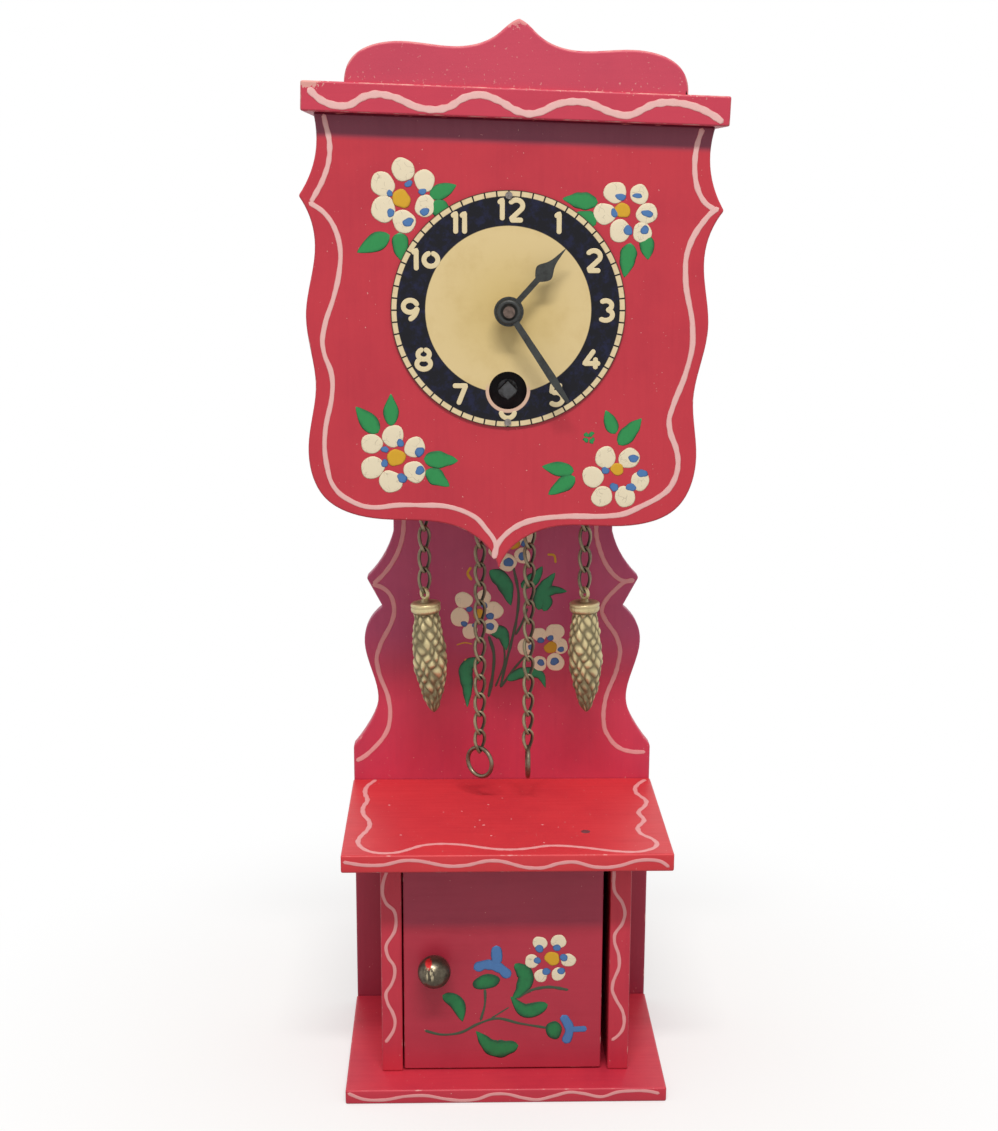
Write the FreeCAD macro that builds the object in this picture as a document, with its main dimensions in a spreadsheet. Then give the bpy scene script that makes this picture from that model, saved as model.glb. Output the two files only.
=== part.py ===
"""Miniature longcase clock in painted wood, with a spring movement, a small cabinet and hanging chains.

Frame: X to the right, Y to the back, Z up, in millimetres. The origin lies on the floor under the case.
The hood's own boards are drawn about the hands' axis and then turned together by hood_lean.
"""
import FreeCAD, Part
import Sketcher
import math
import os
import re
from types import SimpleNamespace
from FreeCAD import Placement, Rotation, Vector

SIZES = {
    # base board, shelf and cabinet
    "base_width": 77.0,
    "base_depth": 49.0,
    "base_thick": 3.6,
    "shelf_width": 77.0,
    "shelf_depth": 51.5,
    "shelf_thick": 4.3,
    "shelf_top": 64.5,
    "cabinet_width": 60.0,
    "cabinet_depth": 40.0,
    "cabinet_side": 5.0,
    # door, its pivot nails and its knob
    "door_thick": 4.5,
    "door_recess": 0.5,
    "door_gap": 0.35,
    "hinge_gap": 1.7,
    "hinge_inset": 4.35,
    "pivot_radius": 0.6,
    "pivot_play": 0.05,
    "pivot_grip": 6.0,
    "pivot_spare": 0.6,
    "nail_head_radius": 1.1,
    "nail_head": 0.4,
    "knob_radius": 3.95,
    "knob_neck": 0.9,
    "knob_neck_radius": 2.1,
    "knob_sunk": 0.55,
    "knob_stem_radius": 1.0,
    "knob_stem": 3.0,
    "knob_across": 17.2,
    "knob_height": 31.75,
    # back board: half widths and heights along its edge
    "back_thick": 4.0,
    "back_half": 38.3,
    "foot_z": 73.4,
    "flare_half": 34.6,
    "flare_z": 78.6,
    "neck_half": 31.9,
    "neck_z": 85.2,
    "belly_half": 34.8,
    "belly_z": 98.6,
    "notch_half": 30.4,
    "notch_z": 110.5,
    "barb_half": 34.4,
    "barb_z": 118.0,
    "sweep_half": 29.6,
    "sweep_z": 124.4,
    "throat_half": 27.5,
    "throat_z": 130.0,
    "collar_drop": 45.0,
    "upper_half": 37.0,
    # hood: front board, sides, floor, cornice and crest, about the hands' axis
    "dial_height": 187.5,
    "hood_lean": 1.8,
    "hood_depth": 33.5,
    "front_thick": 3.5,
    "box_half": 35.0,
    "hood_side": 4.0,
    "floor_thick": 3.5,
    "hood_rise": 41.5,
    "cornice_width": 93.4,
    "cornice_thick": 6.4,
    "cornice_overhang": 3.7,
    "crest_thick": 4.0,
    "crest_setback": 0.8,
    # front board: half widths, and heights above or below the hands' axis
    "brow_half": 44.2,
    "temple_half": 43.5,
    "temple_rise": 33.5,
    "ear_half": 47.2,
    "ear_rise": 23.5,
    "cheek_half": 43.5,
    "cheek_rise": 11.0,
    "jowl_half": 45.3,
    "jowl_drop": 2.5,
    "dent_half": 42.9,
    "dent_drop": 18.5,
    "hip_half": 44.4,
    "hip_drop": 32.5,
    "lobe_half": 40.6,
    "lobe_drop": 44.0,
    "hem_half": 29.0,
    "hem_drop": 48.6,
    "ogee_half": 10.5,
    "ogee_drop": 49.8,
    "drip_half": 3.3,
    "drip_drop": 54.0,
    "point_drop": 59.4,
    # crest: half widths, and heights above the cornice
    "crest_half": 37.4,
    "crest_shoulder_half": 35.2,
    "crest_shoulder": 5.8,
    "crest_lobe_half": 26.5,
    "crest_lobe": 8.9,
    "crest_dip_half": 12.0,
    "crest_dip": 8.4,
    "crest_neck_half": 4.6,
    "crest_neck": 11.1,
    "crest_tip_half": 1.4,
    "crest_tip_round": 0.7,
    "crest_tip": 14.5,
    # dial and hands
    "dial_radius": 26.35,
    "dial_thick": 0.5,
    "dial_bore": 2.2,
    "dial_pin_circle": 25.2,
    "dial_pin_radius": 0.4,
    "dial_pin_head": 0.8,
    "dial_pin_dome": 0.35,
    "blind_cover": 0.5,
    "winding_drop": 18.0,
    "winding_hole": 4.3,
    "winding_well": 4.7,
    "works_hole": 11.5,
    "shown_hour": 1.0,
    "shown_minute": 24.4,
    "hand_thick": 0.5,
    "hour_length": 18.8,
    "minute_length": 24.4,
    "hour_boss": 3.3,
    "minute_boss": 2.75,
    "hand_lift": 3.4,
    "hand_gap": 0.5,
    "hour_spade": 2.1,
    "hour_shaft": 0.65,
    "minute_leaf": 0.92,
    "minute_foot": 0.7,
    "minute_tip": 0.45,
    "nut_radius": 1.3,
    "nut_height": 0.9,
    "nut_cap": 0.3,
    # rear cover
    "cover_hole": 11.5,
    "cover_radius": 15.5,
    "cover_thick": 1.2,
    "cover_screw_circle": 13.5,
    "screw_radius": 0.7,
    "screw_head_radius": 1.4,
    "screw_head": 0.8,
    "screw_length": 3.6,
    # chains, pegs, weights and rings
    "chain_outer": 19.5,
    "chain_inner": 6.0,
    "chain_out": 15.0,
    "chain_seat": 2.25,
    "peg_tenon": 3.0,
    "peg_cover": 1.0,
    "peg_reach": 19.0,
    "loop_drop": 29.75,
    "peg_floor_gap": 2.0,
    "chain_hole": 3.0,
    "link_pitch": 4.1,
    "link_wire": 0.4,
    "link_half": 1.2,
    "link_play": 0.12,
    "weight_links": 5,
    "free_links": 15,
    "lug_radius": 1.25,
    "lug_wire": 0.45,
    "lug_stem": 0.9,
    "lug_sunk": 2.0,
    "lug_neck": 0.6,
    "lug_lift": 0.5,
    "cap_radius": 3.7,
    "cap_height": 2.6,
    "cone_radius": 4.55,
    "cone_length": 25.6,
    "weight_tilt_left": 4.2,
    "weight_tilt_right": 1.8,
    "ring_radius": 3.75,
    "ring_wire": 0.5,
    "ring_turn_left": 40.0,
    # case nails
    "nail_radius": 0.5,
    "nail_length": 13.0,
    "nail_inset": 8.5,
    "hood_nail_rise": 25.0,
    # movement plates, pillars and screws
    "plate_thick": 1.0,
    "plate_width": 52.0,
    "plate_height": 48.0,
    "plate_drop": 2.5,
    "plate_gap": 14.0,
    "plate_screw_across": 24.0,
    "plate_screw_high": 4.0,
    "plate_screw_low": 12.0,
    "plate_screw_short": 0.9,
    "pillar_radius": 1.8,
    "pillar_rivet": 1.1,
    "pillar_screw": 0.8,
    "pillar_screw_grip": 3.5,
    "pillar_screw_head": 1.7,
    "pillar_screw_rise": 0.9,
    "pillar_bore": 4.0,
    "pillar_across": 23.0,
    "pillar_high": 18.5,
    "pillar_low": 23.5,
    # pivots and pipes
    "pivot_clear": 0.04,
    "pivot_small": 0.4,
    "arbor_radius": 0.7,
    "shoulder": 0.15,
    "center_pivot": 0.9,
    "center_body": 1.2,
    "center_rear": 0.6,
    "center_tail": 0.7,
    "cannon_pipe": 1.1,
    "hour_pipe": 1.65,
    "minute_post": 0.6,
    "motion_clear": 0.3,
    "winding_square": 3.0,
    "winding_pivot": 2.2,
    "winding_body": 2.8,
    "winding_rear": 1.5,
    "winding_proud": 0.2,
    "collar_radius": 4.0,
    "cup_radius": 1.4,
    "cup_rise": 0.5,
    "cup_floor": 0.7,
    # wheels: teeth, modules and the directions from one arbor to the next
    "great_teeth": 64,
    "leaves": 8,
    "center_teeth": 64,
    "center_module": 0.3,
    "third_teeth": 60,
    "third_module": 0.28,
    "fourth_teeth": 64,
    "fourth_module": 0.25,
    "cannon_leaves": 12,
    "minute_teeth": 36,
    "minute_leaves": 10,
    "hour_teeth": 40,
    "motion_distance": 6.0,
    "motion_angle": 150.0,
    "third_angle": 125.0,
    "fourth_angle": 20.0,
    "escape_angle": -20.0,
    "tooth_depth": 1.25,
    "tooth_height": 0.8,
    "tooth_foot": 0.23,
    "tooth_tip": 0.09,
    # where the wheels lie behind the front plate, and how thick they are
    "spring_start": 1.0,
    "spring_width": 6.0,
    "collar_start": 7.3,
    "collar_thick": 0.5,
    "great_start": 8.0,
    "great_thick": 1.2,
    "center_start": 11.6,
    "third_start": 5.0,
    "fourth_start": 2.2,
    "wheel_thick": 0.8,
    "pinion_over": 0.3,
    "escape_start": 8.0,
    "escape_thick": 0.6,
    "lever_start": 9.0,
    "lever_thick": 0.6,
    "balance_start": 11.0,
    "balance_thick": 1.0,
    "hair_start": 12.6,
    "hair_width": 0.6,
    # motion work before the front plate
    "motion_gap": 0.2,
    "cannon_thick": 1.2,
    "minute_leaves_thick": 1.6,
    "hour_start": 1.9,
    # mainspring, ratchet and click
    "spring_inner": 3.1,
    "spring_pitch": 0.95,
    "spring_turns": 8,
    "spring_thick": 0.35,
    "spring_post_radius": 0.8,
    "spring_post_gap": 1.6,
    "ratchet_teeth": 16,
    "ratchet_tip": 6.0,
    "ratchet_root": 5.1,
    "ratchet_start": 9.6,
    "ratchet_thick": 1.2,
    "click_angle": -90.0,
    "click_radius": 10.5,
    "click_stud": 0.7,
    "click_boss": 1.4,
    "click_start": 9.5,
    "click_thick": 1.1,
    "nose_angle": -50.0,
    "nose_lag": 4.0,
    "click_spring_thick": 0.3,
    "click_spring_foot": 0.6,
    "click_spring_start": 9.6,
    "click_spring_width": 0.8,
    "great_hole": 2.4,
    "great_hole_circle": 9.8,
    # escapement
    "escape_teeth": 15,
    "escape_root": 3.2,
    "escape_tip": 4.5,
    "lever_angle": -69.3,
    "lever_distance": 6.2,
    "lever_arm": 0.9,
    "pallet_spread": 36.0,
    "pallet_gap": 0.4,
    "pallet_radius": 0.2,
    "fork_back": 3.2,
    "fork_half": 1.75,
    "fork_length": 1.33,
    "fork_wire": 0.7,
    "balance_distance": 8.77,
    "balance_radius": 6.6,
    "balance_rim": 1.2,
    "roller_radius": 2.4,
    "roller_start": 9.9,
    "roller_thick": 0.5,
    "impulse_circle": 1.8,
    "impulse_radius": 0.25,
    "impulse_start": 8.7,
    "staff_radius": 0.6,
    "staff_pivot": 0.3,
    "hair_inner": 1.1,
    "hair_pitch": 0.7,
    "hair_turns": 5,
    "hair_thick": 0.14,
    "hair_collet": 0.85,
    "hair_stud": 0.4,
    "hair_stud_gap": 0.75,
}

doc = FreeCAD.newDocument("MiniatureLongcaseClock")
sheet = doc.addObject("Spreadsheet::Sheet", "Sizes")
for row, (alias, value) in enumerate(SIZES.items(), 1):
    sheet.set(f"A{row}", alias)
    sheet.set(f"B{row}", str(value))
    sheet.setAlias(f"B{row}", alias)
doc.recompute()
size = SimpleNamespace(**{alias: float(sheet.get(alias)) for alias in SIZES})

# places along the depth, as expressions and as numbers
BACK = "((base_depth - back_thick) / 2)"
FACE = f"({BACK} - hood_depth)"
PLATE = f"({FACE} + front_thick)"
CABINET_TOP = "(shelf_top - shelf_thick)"
LOOP = "((chain_outer - chain_inner) / 2)"
PEG_Z = f"(dial_height - loop_drop - {LOOP})"
FLOOR_DROP = f"(loop_drop + 2 * {LOOP} - chain_seat + peg_floor_gap + floor_thick)"
y_back = (size.base_depth - size.back_thick) / 2
y_face = y_back - size.hood_depth
lean = math.radians(size.hood_lean)
loop_radius = (size.chain_outer - size.chain_inner) / 2
floor_drop = size.loop_drop + 2 * loop_radius - size.chain_seat + size.peg_floor_gap + size.floor_thick
ALONG_Y = Rotation(Vector(1, 0, 0), -90)
nodes = []


def cells(text):
    """Put the sheet's name before each alias in an expression."""
    return re.sub(r"[a-z][a-z0-9_]*", lambda m: "Sizes." * (m.group() in SIZES) + m.group(), str(text))


def bind(obj, **sizes):
    for name, text in sizes.items():
        obj.setExpression(name, cells(text))
    return obj


def put(obj, x=0, y=0, z=0):
    for axis, text in zip("xyz", (x, y, z)):
        obj.setExpression("Placement.Base." + axis, cells(text))
    return obj


def node(label, obj):
    obj.Label = label
    nodes.append(obj)
    return obj


def in_hood(obj):
    """Seat an object drawn about the hands' axis on the hood, with the hood's lean."""
    obj.Placement = Placement(Vector(0, 0, size.dial_height), Rotation(Vector(0, 1, 0), size.hood_lean))
    bind(obj, **{"Placement.Base.z": "dial_height", "Placement.Rotation.Angle": "hood_lean"})
    return obj


def at_dial(obj):
    """Seat an object drawn about the hands' axis upright on that axis."""
    bind(obj, **{"Placement.Base.z": "dial_height"})
    return obj


def hood_to_world(x, z):
    """Where a point of the leaning hood lies in the upright frame."""
    return (x * math.cos(lean) + z * math.sin(lean),
            size.dial_height - x * math.sin(lean) + z * math.cos(lean))


def sketch_on(body, plane, across=0, up=0, out=0):
    sketch = body.newObject("Sketcher::SketchObject", body.Name + "Sketch")
    feature = next(f for f in body.Origin.OriginFeatures if f.Role == plane + "_Plane")
    sketch.AttachmentSupport = [(feature, "")]
    sketch.MapMode = "FlatFace"
    for axis, text in zip("xyz", (across, up, out)):
        sketch.setExpression("AttachmentOffset.Base." + axis, cells(text))
    return sketch


def pad_on(body, sketch, thick):
    pad = body.newObject("PartDesign::Pad", body.Name + "Pad")
    pad.Profile = sketch
    return bind(pad, Length=thick)


def board(name, plane, width, height, thick, across=0, up=0, out=0):
    """Pad a rectangle about (across, up) on a plane, from out along the plane's normal."""
    body = doc.addObject("PartDesign::Body", name)
    sketch = sketch_on(body, plane, across, up, out)
    corners = [Vector(-5, -5, 0), Vector(5, -5, 0), Vector(5, 5, 0), Vector(-5, 5, 0)]
    sketch.addGeometry([Part.LineSegment(corners[i], corners[(i + 1) % 4]) for i in range(4)], False)
    for i in range(4):
        sketch.addConstraint(Sketcher.Constraint("Coincident", i, 2, (i + 1) % 4, 1))
    for kind, lines in (("Horizontal", (0, 2)), ("Vertical", (1, 3))):
        for line in lines:
            sketch.addConstraint(Sketcher.Constraint(kind, line))
    sketch.addConstraint(Sketcher.Constraint("Symmetric", 0, 1, 1, 2, -1, 1))
    for kind, line, text in (("DistanceX", 0, width), ("DistanceY", 1, height)):
        index = sketch.addConstraint(Sketcher.Constraint(kind, line, 1, line, 2, 10))
        sketch.renameConstraint(index, kind)
        bind(sketch, **{"Constraints." + kind: text})
    pad_on(body, sketch, thick)
    return body


def shaped_board(name, edges, thick, out):
    """Pad a closed outline of lines (two points) and curves (more points), drawn on the XZ plane."""
    body = doc.addObject("PartDesign::Body", name)
    sketch = sketch_on(body, "XZ", out=out)
    for points in edges:
        points = [Vector(x, z, 0) for x, z in points]
        if len(points) == 2:
            sketch.addGeometry(Part.LineSegment(*points), False)
        else:
            spline = Part.BSplineCurve()
            spline.interpolate(points)
            sketch.addGeometry(spline, False)
    pad_on(body, sketch, thick)
    return body


def mirrored(half):
    """Close a right half outline, listed from the top down, with its mirror image."""
    left = [[(-x, z) for x, z in reversed(points)] for points in reversed(half)]
    edges = half + left
    if abs(half[0][0][0]) > 1e-9:
        edges.append([(-half[0][0][0], half[0][0][1]), half[0][0]])
    if abs(half[-1][-1][0]) > 1e-9:
        edges.append([half[-1][-1], (-half[-1][-1][0], half[-1][-1][1])])
    return edges


def rod(name, radius, length, x=0, y=0, z=0, upright=False):
    """A cylinder along Y, or along Z when upright, starting at (x, y, z)."""
    obj = doc.addObject("Part::Cylinder", name)
    obj.Placement = Placement(Vector(), Rotation() if upright else ALONG_Y)
    return put(bind(obj, Radius=radius, Height=length), x, y, z)


def cut(name, base, tools):
    obj = doc.addObject("Part::Cut", name)
    obj.Base = base
    obj.Tool = tools[0] if len(tools) == 1 else fuse(name + "Tools", tools)
    return obj


def fuse(name, parts):
    obj = doc.addObject("Part::MultiFuse", name)
    obj.Shapes = parts
    return obj


def group(name, parts):
    obj = doc.addObject("Part::Compound", name)
    obj.Links = parts
    return obj


def made(name, shape):
    obj = doc.addObject("Part::Feature", name)
    obj.Shape = shape
    return obj


def nail(name, shank, length, head_radius, head, x, y, z, up=None):
    """A round nail with its head's underside at (x, y, z): driven forward along -Y, or along Z by up."""
    if up is None:
        return fuse(name, [
            rod(name + "Shank", shank, length, x, f"{y} - ({length})", z),
            rod(name + "Head", head_radius, head, x, y, z)])
    low, top = (f"{z} - ({length})", z) if up < 0 else (z, f"{z} - ({head})")
    return fuse(name, [
        rod(name + "Shank", shank, length, x, y, low, True),
        rod(name + "Head", head_radius, head, x, y, top, True)])


# base board, cabinet sides and shelf
nail_x = size.base_width / 2 - size.nail_inset
nail_seats = [(x, z) for x in (-nail_x, nail_x) for z in ("base_thick / 2", "shelf_top - shelf_thick / 2")]
DOOR_WIDTH = "(cabinet_width - 2 * cabinet_side - door_gap - hinge_gap)"
PIVOT_X = "(cabinet_width / 2 - cabinet_side - hinge_gap - hinge_inset)"
PIVOT_Y = f"({BACK} - cabinet_depth + door_recess + door_thick / 2)"


def back_nail_holes(name, z):
    return [rod(f"{name}NailHole{i}", "nail_radius", "nail_length - back_thick", x,
                f"{BACK} + back_thick - nail_length", z) for i, x in enumerate((-nail_x, nail_x))]


base_blank = board("BaseBlank", "XY", "base_width", "base_depth", "base_thick", 0, f"{BACK} - base_depth / 2")
base_pivot = fuse("BasePivotHole", [
    rod("BasePivotShank", "pivot_radius", "base_thick", PIVOT_X, PIVOT_Y, 0, True),
    rod("BasePivotSink", "nail_head_radius", "nail_head", PIVOT_X, PIVOT_Y, 0, True)])
node("base_board", cut("Base", base_blank, [base_pivot] + back_nail_holes("Base", "base_thick / 2")))

shelf_blank = board("ShelfBlank", "XY", "shelf_width", "shelf_depth", "shelf_thick",
                    0, f"{BACK} - shelf_depth / 2", CABINET_TOP)
shelf_pivot = fuse("ShelfPivotHole", [
    rod("ShelfPivotShank", "pivot_radius", "shelf_thick", PIVOT_X, PIVOT_Y, CABINET_TOP, True),
    rod("ShelfPivotSink", "nail_head_radius", "nail_head", PIVOT_X, PIVOT_Y, "shelf_top - nail_head", True)])
node("cabinet_shelf", cut("Shelf", shelf_blank,
                          [shelf_pivot] + back_nail_holes("Shelf", "shelf_top - shelf_thick / 2")))

for side, start in (("left", "-cabinet_width / 2"), ("right", "cabinet_width / 2 - cabinet_side")):
    node(f"cabinet_side_{side}", board(
        f"CabinetSide{side.title()}", "YZ", "cabinet_depth", f"{CABINET_TOP} - base_thick", "cabinet_side",
        f"{BACK} - cabinet_depth / 2", f"({CABINET_TOP} + base_thick) / 2", start))

# door on two pivot nails, with a turned knob
DOOR_REAR = f"({BACK} - cabinet_depth + door_recess + door_thick)"
DOOR_FACE = f"({BACK} - cabinet_depth + door_recess)"
door_blank = board("DoorBlank", "XZ", DOOR_WIDTH, f"{CABINET_TOP} - base_thick - 2 * door_gap", "door_thick",
                   f"{PIVOT_X} + hinge_inset - {DOOR_WIDTH} / 2", f"({CABINET_TOP} + base_thick) / 2",
                   f"-{DOOR_REAR}")
PIVOT_DEEP = "(nail_head + pivot_grip + pivot_spare)"
node("door", cut("Door", door_blank, [
    rod("DoorPivotLow", "pivot_radius + pivot_play", f"{PIVOT_DEEP} - base_thick",
        PIVOT_X, PIVOT_Y, "base_thick", True),
    rod("DoorPivotHigh", "pivot_radius + pivot_play", f"{PIVOT_DEEP} - shelf_thick",
        PIVOT_X, PIVOT_Y, f"shelf_top - {PIVOT_DEEP}", True),
    rod("DoorStemHole", "knob_stem_radius", "knob_stem", "-knob_across", DOOR_FACE, "knob_height")]))
ball = bind(doc.addObject("Part::Sphere", "KnobBall"), Radius="knob_radius")
node("door_knob", fuse("Knob", [
    put(ball, "-knob_across", f"{DOOR_FACE} - knob_neck - knob_radius + knob_sunk", "knob_height"),
    rod("KnobNeck", "knob_neck_radius", "knob_neck + knob_radius / 2",
        "-knob_across", f"{DOOR_FACE} - knob_neck - knob_radius / 2", "knob_height"),
    rod("KnobStem", "knob_stem_radius", "knob_stem", "-knob_across", DOOR_FACE, "knob_height")]))
node("door_pivots", group("DoorPivots", [
    nail("PivotLow", "pivot_radius", "pivot_grip", "nail_head_radius", "nail_head",
         PIVOT_X, PIVOT_Y, "nail_head", 1),
    nail("PivotHigh", "pivot_radius", "pivot_grip", "nail_head_radius", "nail_head",
         PIVOT_X, PIVOT_Y, "shelf_top - nail_head", -1)]))

# hood boards, drawn about the hands' axis
hood_nail_x = size.box_half - size.hood_side / 2
hood_nail_z = size.hood_nail_rise
INNER_DEPTH = "(hood_depth - front_thick)"
for side, sign, start in (("left", -1, "-box_half"), ("right", 1, "box_half - hood_side")):
    blank = board(f"HoodSide{side.title()}Blank", "YZ", INNER_DEPTH, f"hood_rise + {FLOOR_DROP}", "hood_side",
                  f"{BACK} - {INNER_DEPTH} / 2", f"(hood_rise - {FLOOR_DROP}) / 2", start)
    holes = [rod(f"HoodSide{side.title()}Hole{i}", "nail_radius", "nail_length - back_thick",
                 sign * hood_nail_x, f"{BACK} + back_thick - nail_length", z)
             for i, z in enumerate((-hood_nail_z, hood_nail_z))]
    node(f"hood_side_{side}", in_hood(cut(f"HoodSide{side.title()}", blank, holes)))

floor_blank = board("FloorBlank", "XY", "2 * (box_half - hood_side)", INNER_DEPTH, "floor_thick",
                    0, f"{BACK} - {INNER_DEPTH} / 2", f"-{FLOOR_DROP}")
floor_mid = -floor_drop + size.floor_thick / 2
runs = {"left_weight": -size.chain_outer, "left_free": -size.chain_inner,
        "right_free": size.chain_inner, "right_weight": size.chain_outer}
node("hood_floor", in_hood(cut("Floor", floor_blank, [
    rod(f"FloorHole{i}", "chain_hole", "floor_thick", (x - floor_mid * math.sin(lean)) / math.cos(lean),
        f"{BACK} - chain_out", f"-{FLOOR_DROP}", True) for i, x in enumerate(runs.values())])))

CORNICE_DEPTH = "(hood_depth + cornice_overhang + back_thick)"
node("cornice", in_hood(board("Cornice", "XY", "cornice_width", CORNICE_DEPTH, "cornice_thick",
                              0, f"{BACK} + back_thick - {CORNICE_DEPTH} / 2", "hood_rise")))

crest_foot = size.hood_rise + size.cornice_thick
crest_half = [[
    (0, crest_foot + size.crest_tip),
    (size.crest_tip_half, crest_foot + size.crest_tip - size.crest_tip_round),
    (size.crest_neck_half, crest_foot + size.crest_neck),
    (size.crest_dip_half, crest_foot + size.crest_dip),
    (size.crest_lobe_half, crest_foot + size.crest_lobe),
    (size.crest_shoulder_half, crest_foot + size.crest_shoulder),
    (size.crest_half, crest_foot)]]
node("crest", in_hood(shaped_board("Crest", mirrored(crest_half), "crest_thick",
                                   f"-({FACE} - cornice_overhang + crest_setback + crest_thick)")))

front_half = [
    [(size.brow_half, size.hood_rise), (size.temple_half, size.temple_rise), (size.ear_half, size.ear_rise)],
    [(size.ear_half, size.ear_rise), (size.cheek_half, size.cheek_rise), (size.jowl_half, -size.jowl_drop),
     (size.dent_half, -size.dent_drop), (size.hip_half, -size.hip_drop), (size.lobe_half, -size.lobe_drop),
     (size.hem_half, -size.hem_drop), (size.ogee_half, -size.ogee_drop), (size.drip_half, -size.drip_drop),
     (0, -size.point_drop)]]
front_blank = shaped_board("FrontBlank", mirrored(front_half), "front_thick", f"-{PLATE}")

dial_pins = [(0, size.dial_pin_circle), (0, -size.dial_pin_circle)]
plate_screws = [(sign * size.plate_screw_across, z) for sign in (-1, 1)
                for z in (size.plate_screw_high, -size.plate_screw_low)]


def upright_in_hood(x, z):
    """Hood coordinates of a point that is given upright about the hands' axis."""
    return x * math.cos(lean) - z * math.sin(lean), x * math.sin(lean) + z * math.cos(lean)


def front_hole(name, radius, x, z, start=FACE, depth="front_thick"):
    x, z = upright_in_hood(x, z)
    return rod(name, radius, depth, x, start, z)


node("hood_front", in_hood(cut("Front", front_blank, [
    front_hole("FrontWorks", "works_hole", 0, 0),
    front_hole("FrontWell", "winding_well", 0, -size.winding_drop)]
    + [front_hole(f"FrontDialPin{i}", "dial_pin_radius", x, z, depth="front_thick - blind_cover")
       for i, (x, z) in enumerate(dial_pins)]
    + [front_hole(f"FrontScrew{i}", "screw_radius", x, z, f"{FACE} + blind_cover",
                  "front_thick - blind_cover")
       for i, (x, z) in enumerate(plate_screws)])))

# back board with its shaped waist, access hole, nails and pegs
def along_hood(x, rise):
    """The upright-frame point at x on a line of the leaning hood."""
    return x, size.dial_height + (rise - x * math.sin(lean)) / math.cos(lean)


def waist_side(sign):
    """One edge of the back board, from its foot up to the cornice."""
    throat = [along_hood(sign * half, -size.collar_drop) for half in (size.throat_half, size.upper_half)]
    curves = [
        [(size.back_half, 0), (size.back_half, size.foot_z)],
        [(size.back_half, size.foot_z), (size.flare_half, size.flare_z), (size.neck_half, size.neck_z),
         (size.belly_half, size.belly_z), (size.notch_half, size.notch_z)],
        [(size.notch_half, size.notch_z), (size.barb_half, size.barb_z)],
        [(size.barb_half, size.barb_z), (size.sweep_half, size.sweep_z), (size.throat_half, size.throat_z)]]
    edges = [[(sign * x, z) for x, z in points] for points in curves]
    return edges + [[edges[-1][-1], throat[0]], throat, [throat[1], cornice_under[sign]]]


cornice_under = {sign: along_hood(sign * size.upper_half, size.hood_rise) for sign in (-1, 1)}
back_edges = waist_side(-1) + waist_side(1) + [
    [(-size.back_half, 0), (size.back_half, 0)], [cornice_under[-1], cornice_under[1]]]
back_blank = shaped_board("BackBlank", back_edges, "back_thick", f"-({BACK} + back_thick)")
hood_nails = [hood_to_world(sign * hood_nail_x, z) for sign in (-1, 1) for z in (-hood_nail_z, hood_nail_z)]
all_nails = nail_seats + hood_nails
cover_screws = [(size.cover_screw_circle * math.sin(a), size.cover_screw_circle * math.cos(a))
                for a in (0, 2 * math.pi / 3, 4 * math.pi / 3)]
peg_x = (size.chain_outer + size.chain_inner) / 2
node("back_board", cut("Back", back_blank, [
    rod("BackAccess", "cover_hole", "back_thick", 0, BACK, "dial_height")]
    + [rod(f"BackNail{i}", "nail_radius", "back_thick", x, BACK, z) for i, (x, z) in enumerate(all_nails)]
    + [rod(f"BackScrew{i}", "screw_radius", "screw_length - cover_thick", x,
           f"{BACK} + back_thick - screw_length + cover_thick", f"dial_height + {z}")
       for i, (x, z) in enumerate(cover_screws)]
    + [rod(f"BackPeg{i}", "peg_tenon", "back_thick - peg_cover", x, BACK, PEG_Z)
       for i, x in enumerate((-peg_x, peg_x))]))
node("case_nails", group("CaseNails", [
    nail(f"CaseNail{i}", "nail_radius", "nail_length", "nail_head_radius", "nail_head", x,
         f"{BACK} + back_thick", z) for i, (x, z) in enumerate(all_nails)]))
node("rear_cover", cut("Cover", rod("CoverDisc", "cover_radius", "cover_thick", 0, f"{BACK} + back_thick",
                                    "dial_height"), [
    rod(f"CoverHole{i}", "screw_radius", "cover_thick", x, f"{BACK} + back_thick", f"dial_height + {z}")
    for i, (x, z) in enumerate(cover_screws)]))
node("rear_cover_screws", group("CoverScrews", [
    nail(f"CoverScrew{i}", "screw_radius", "screw_length", "screw_head_radius", "screw_head", x,
         f"{BACK} + back_thick + cover_thick", f"dial_height + {z}")
    for i, (x, z) in enumerate(cover_screws)]))

# dial, its pins and the hands
DIAL = f"({FACE} - dial_thick)"
node("dial_plate", at_dial(cut("Dial", rod("DialDisc", "dial_radius", "dial_thick", 0, DIAL, 0), [
    rod("DialBore", "dial_bore", "dial_thick", 0, DIAL, 0),
    rod("DialWinding", "winding_hole", "dial_thick", 0, DIAL, "-winding_drop")]
    + [rod(f"DialPinHole{i}", "dial_pin_radius", "dial_thick", x, DIAL, z)
       for i, (x, z) in enumerate(dial_pins)])))
node("dial_pins", at_dial(group("DialPins", [fuse(f"DialPin{i}", [
    rod(f"DialPinShank{i}", "dial_pin_radius", "front_thick - blind_cover + dial_thick", x, DIAL, z),
    rod(f"DialPinHead{i}", "dial_pin_head", "dial_pin_dome", x, f"{DIAL} - dial_pin_dome", z)])
    for i, (x, z) in enumerate(dial_pins)])))


def hand(name, half, boss, bore, rear, angle):
    """A flat hand drawn pointing up and then turned to the time shown."""
    blade = shaped_board(name + "Blade", mirrored(half), "hand_thick", f"-{rear}")
    disc = rod(name + "Boss", boss, "hand_thick", 0, f"{rear} - hand_thick", 0)
    whole = fuse(name + "Whole", [blade, disc])
    obj = cut(name, whole, [rod(name + "Bore", bore, "hand_thick", 0, f"{rear} - hand_thick", 0)])
    obj.Placement = Placement(Vector(0, 0, size.dial_height), Rotation(Vector(0, 1, 0), 1))
    return bind(obj, **{"Placement.Base.z": "dial_height", "Placement.Rotation.Angle": angle})


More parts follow.
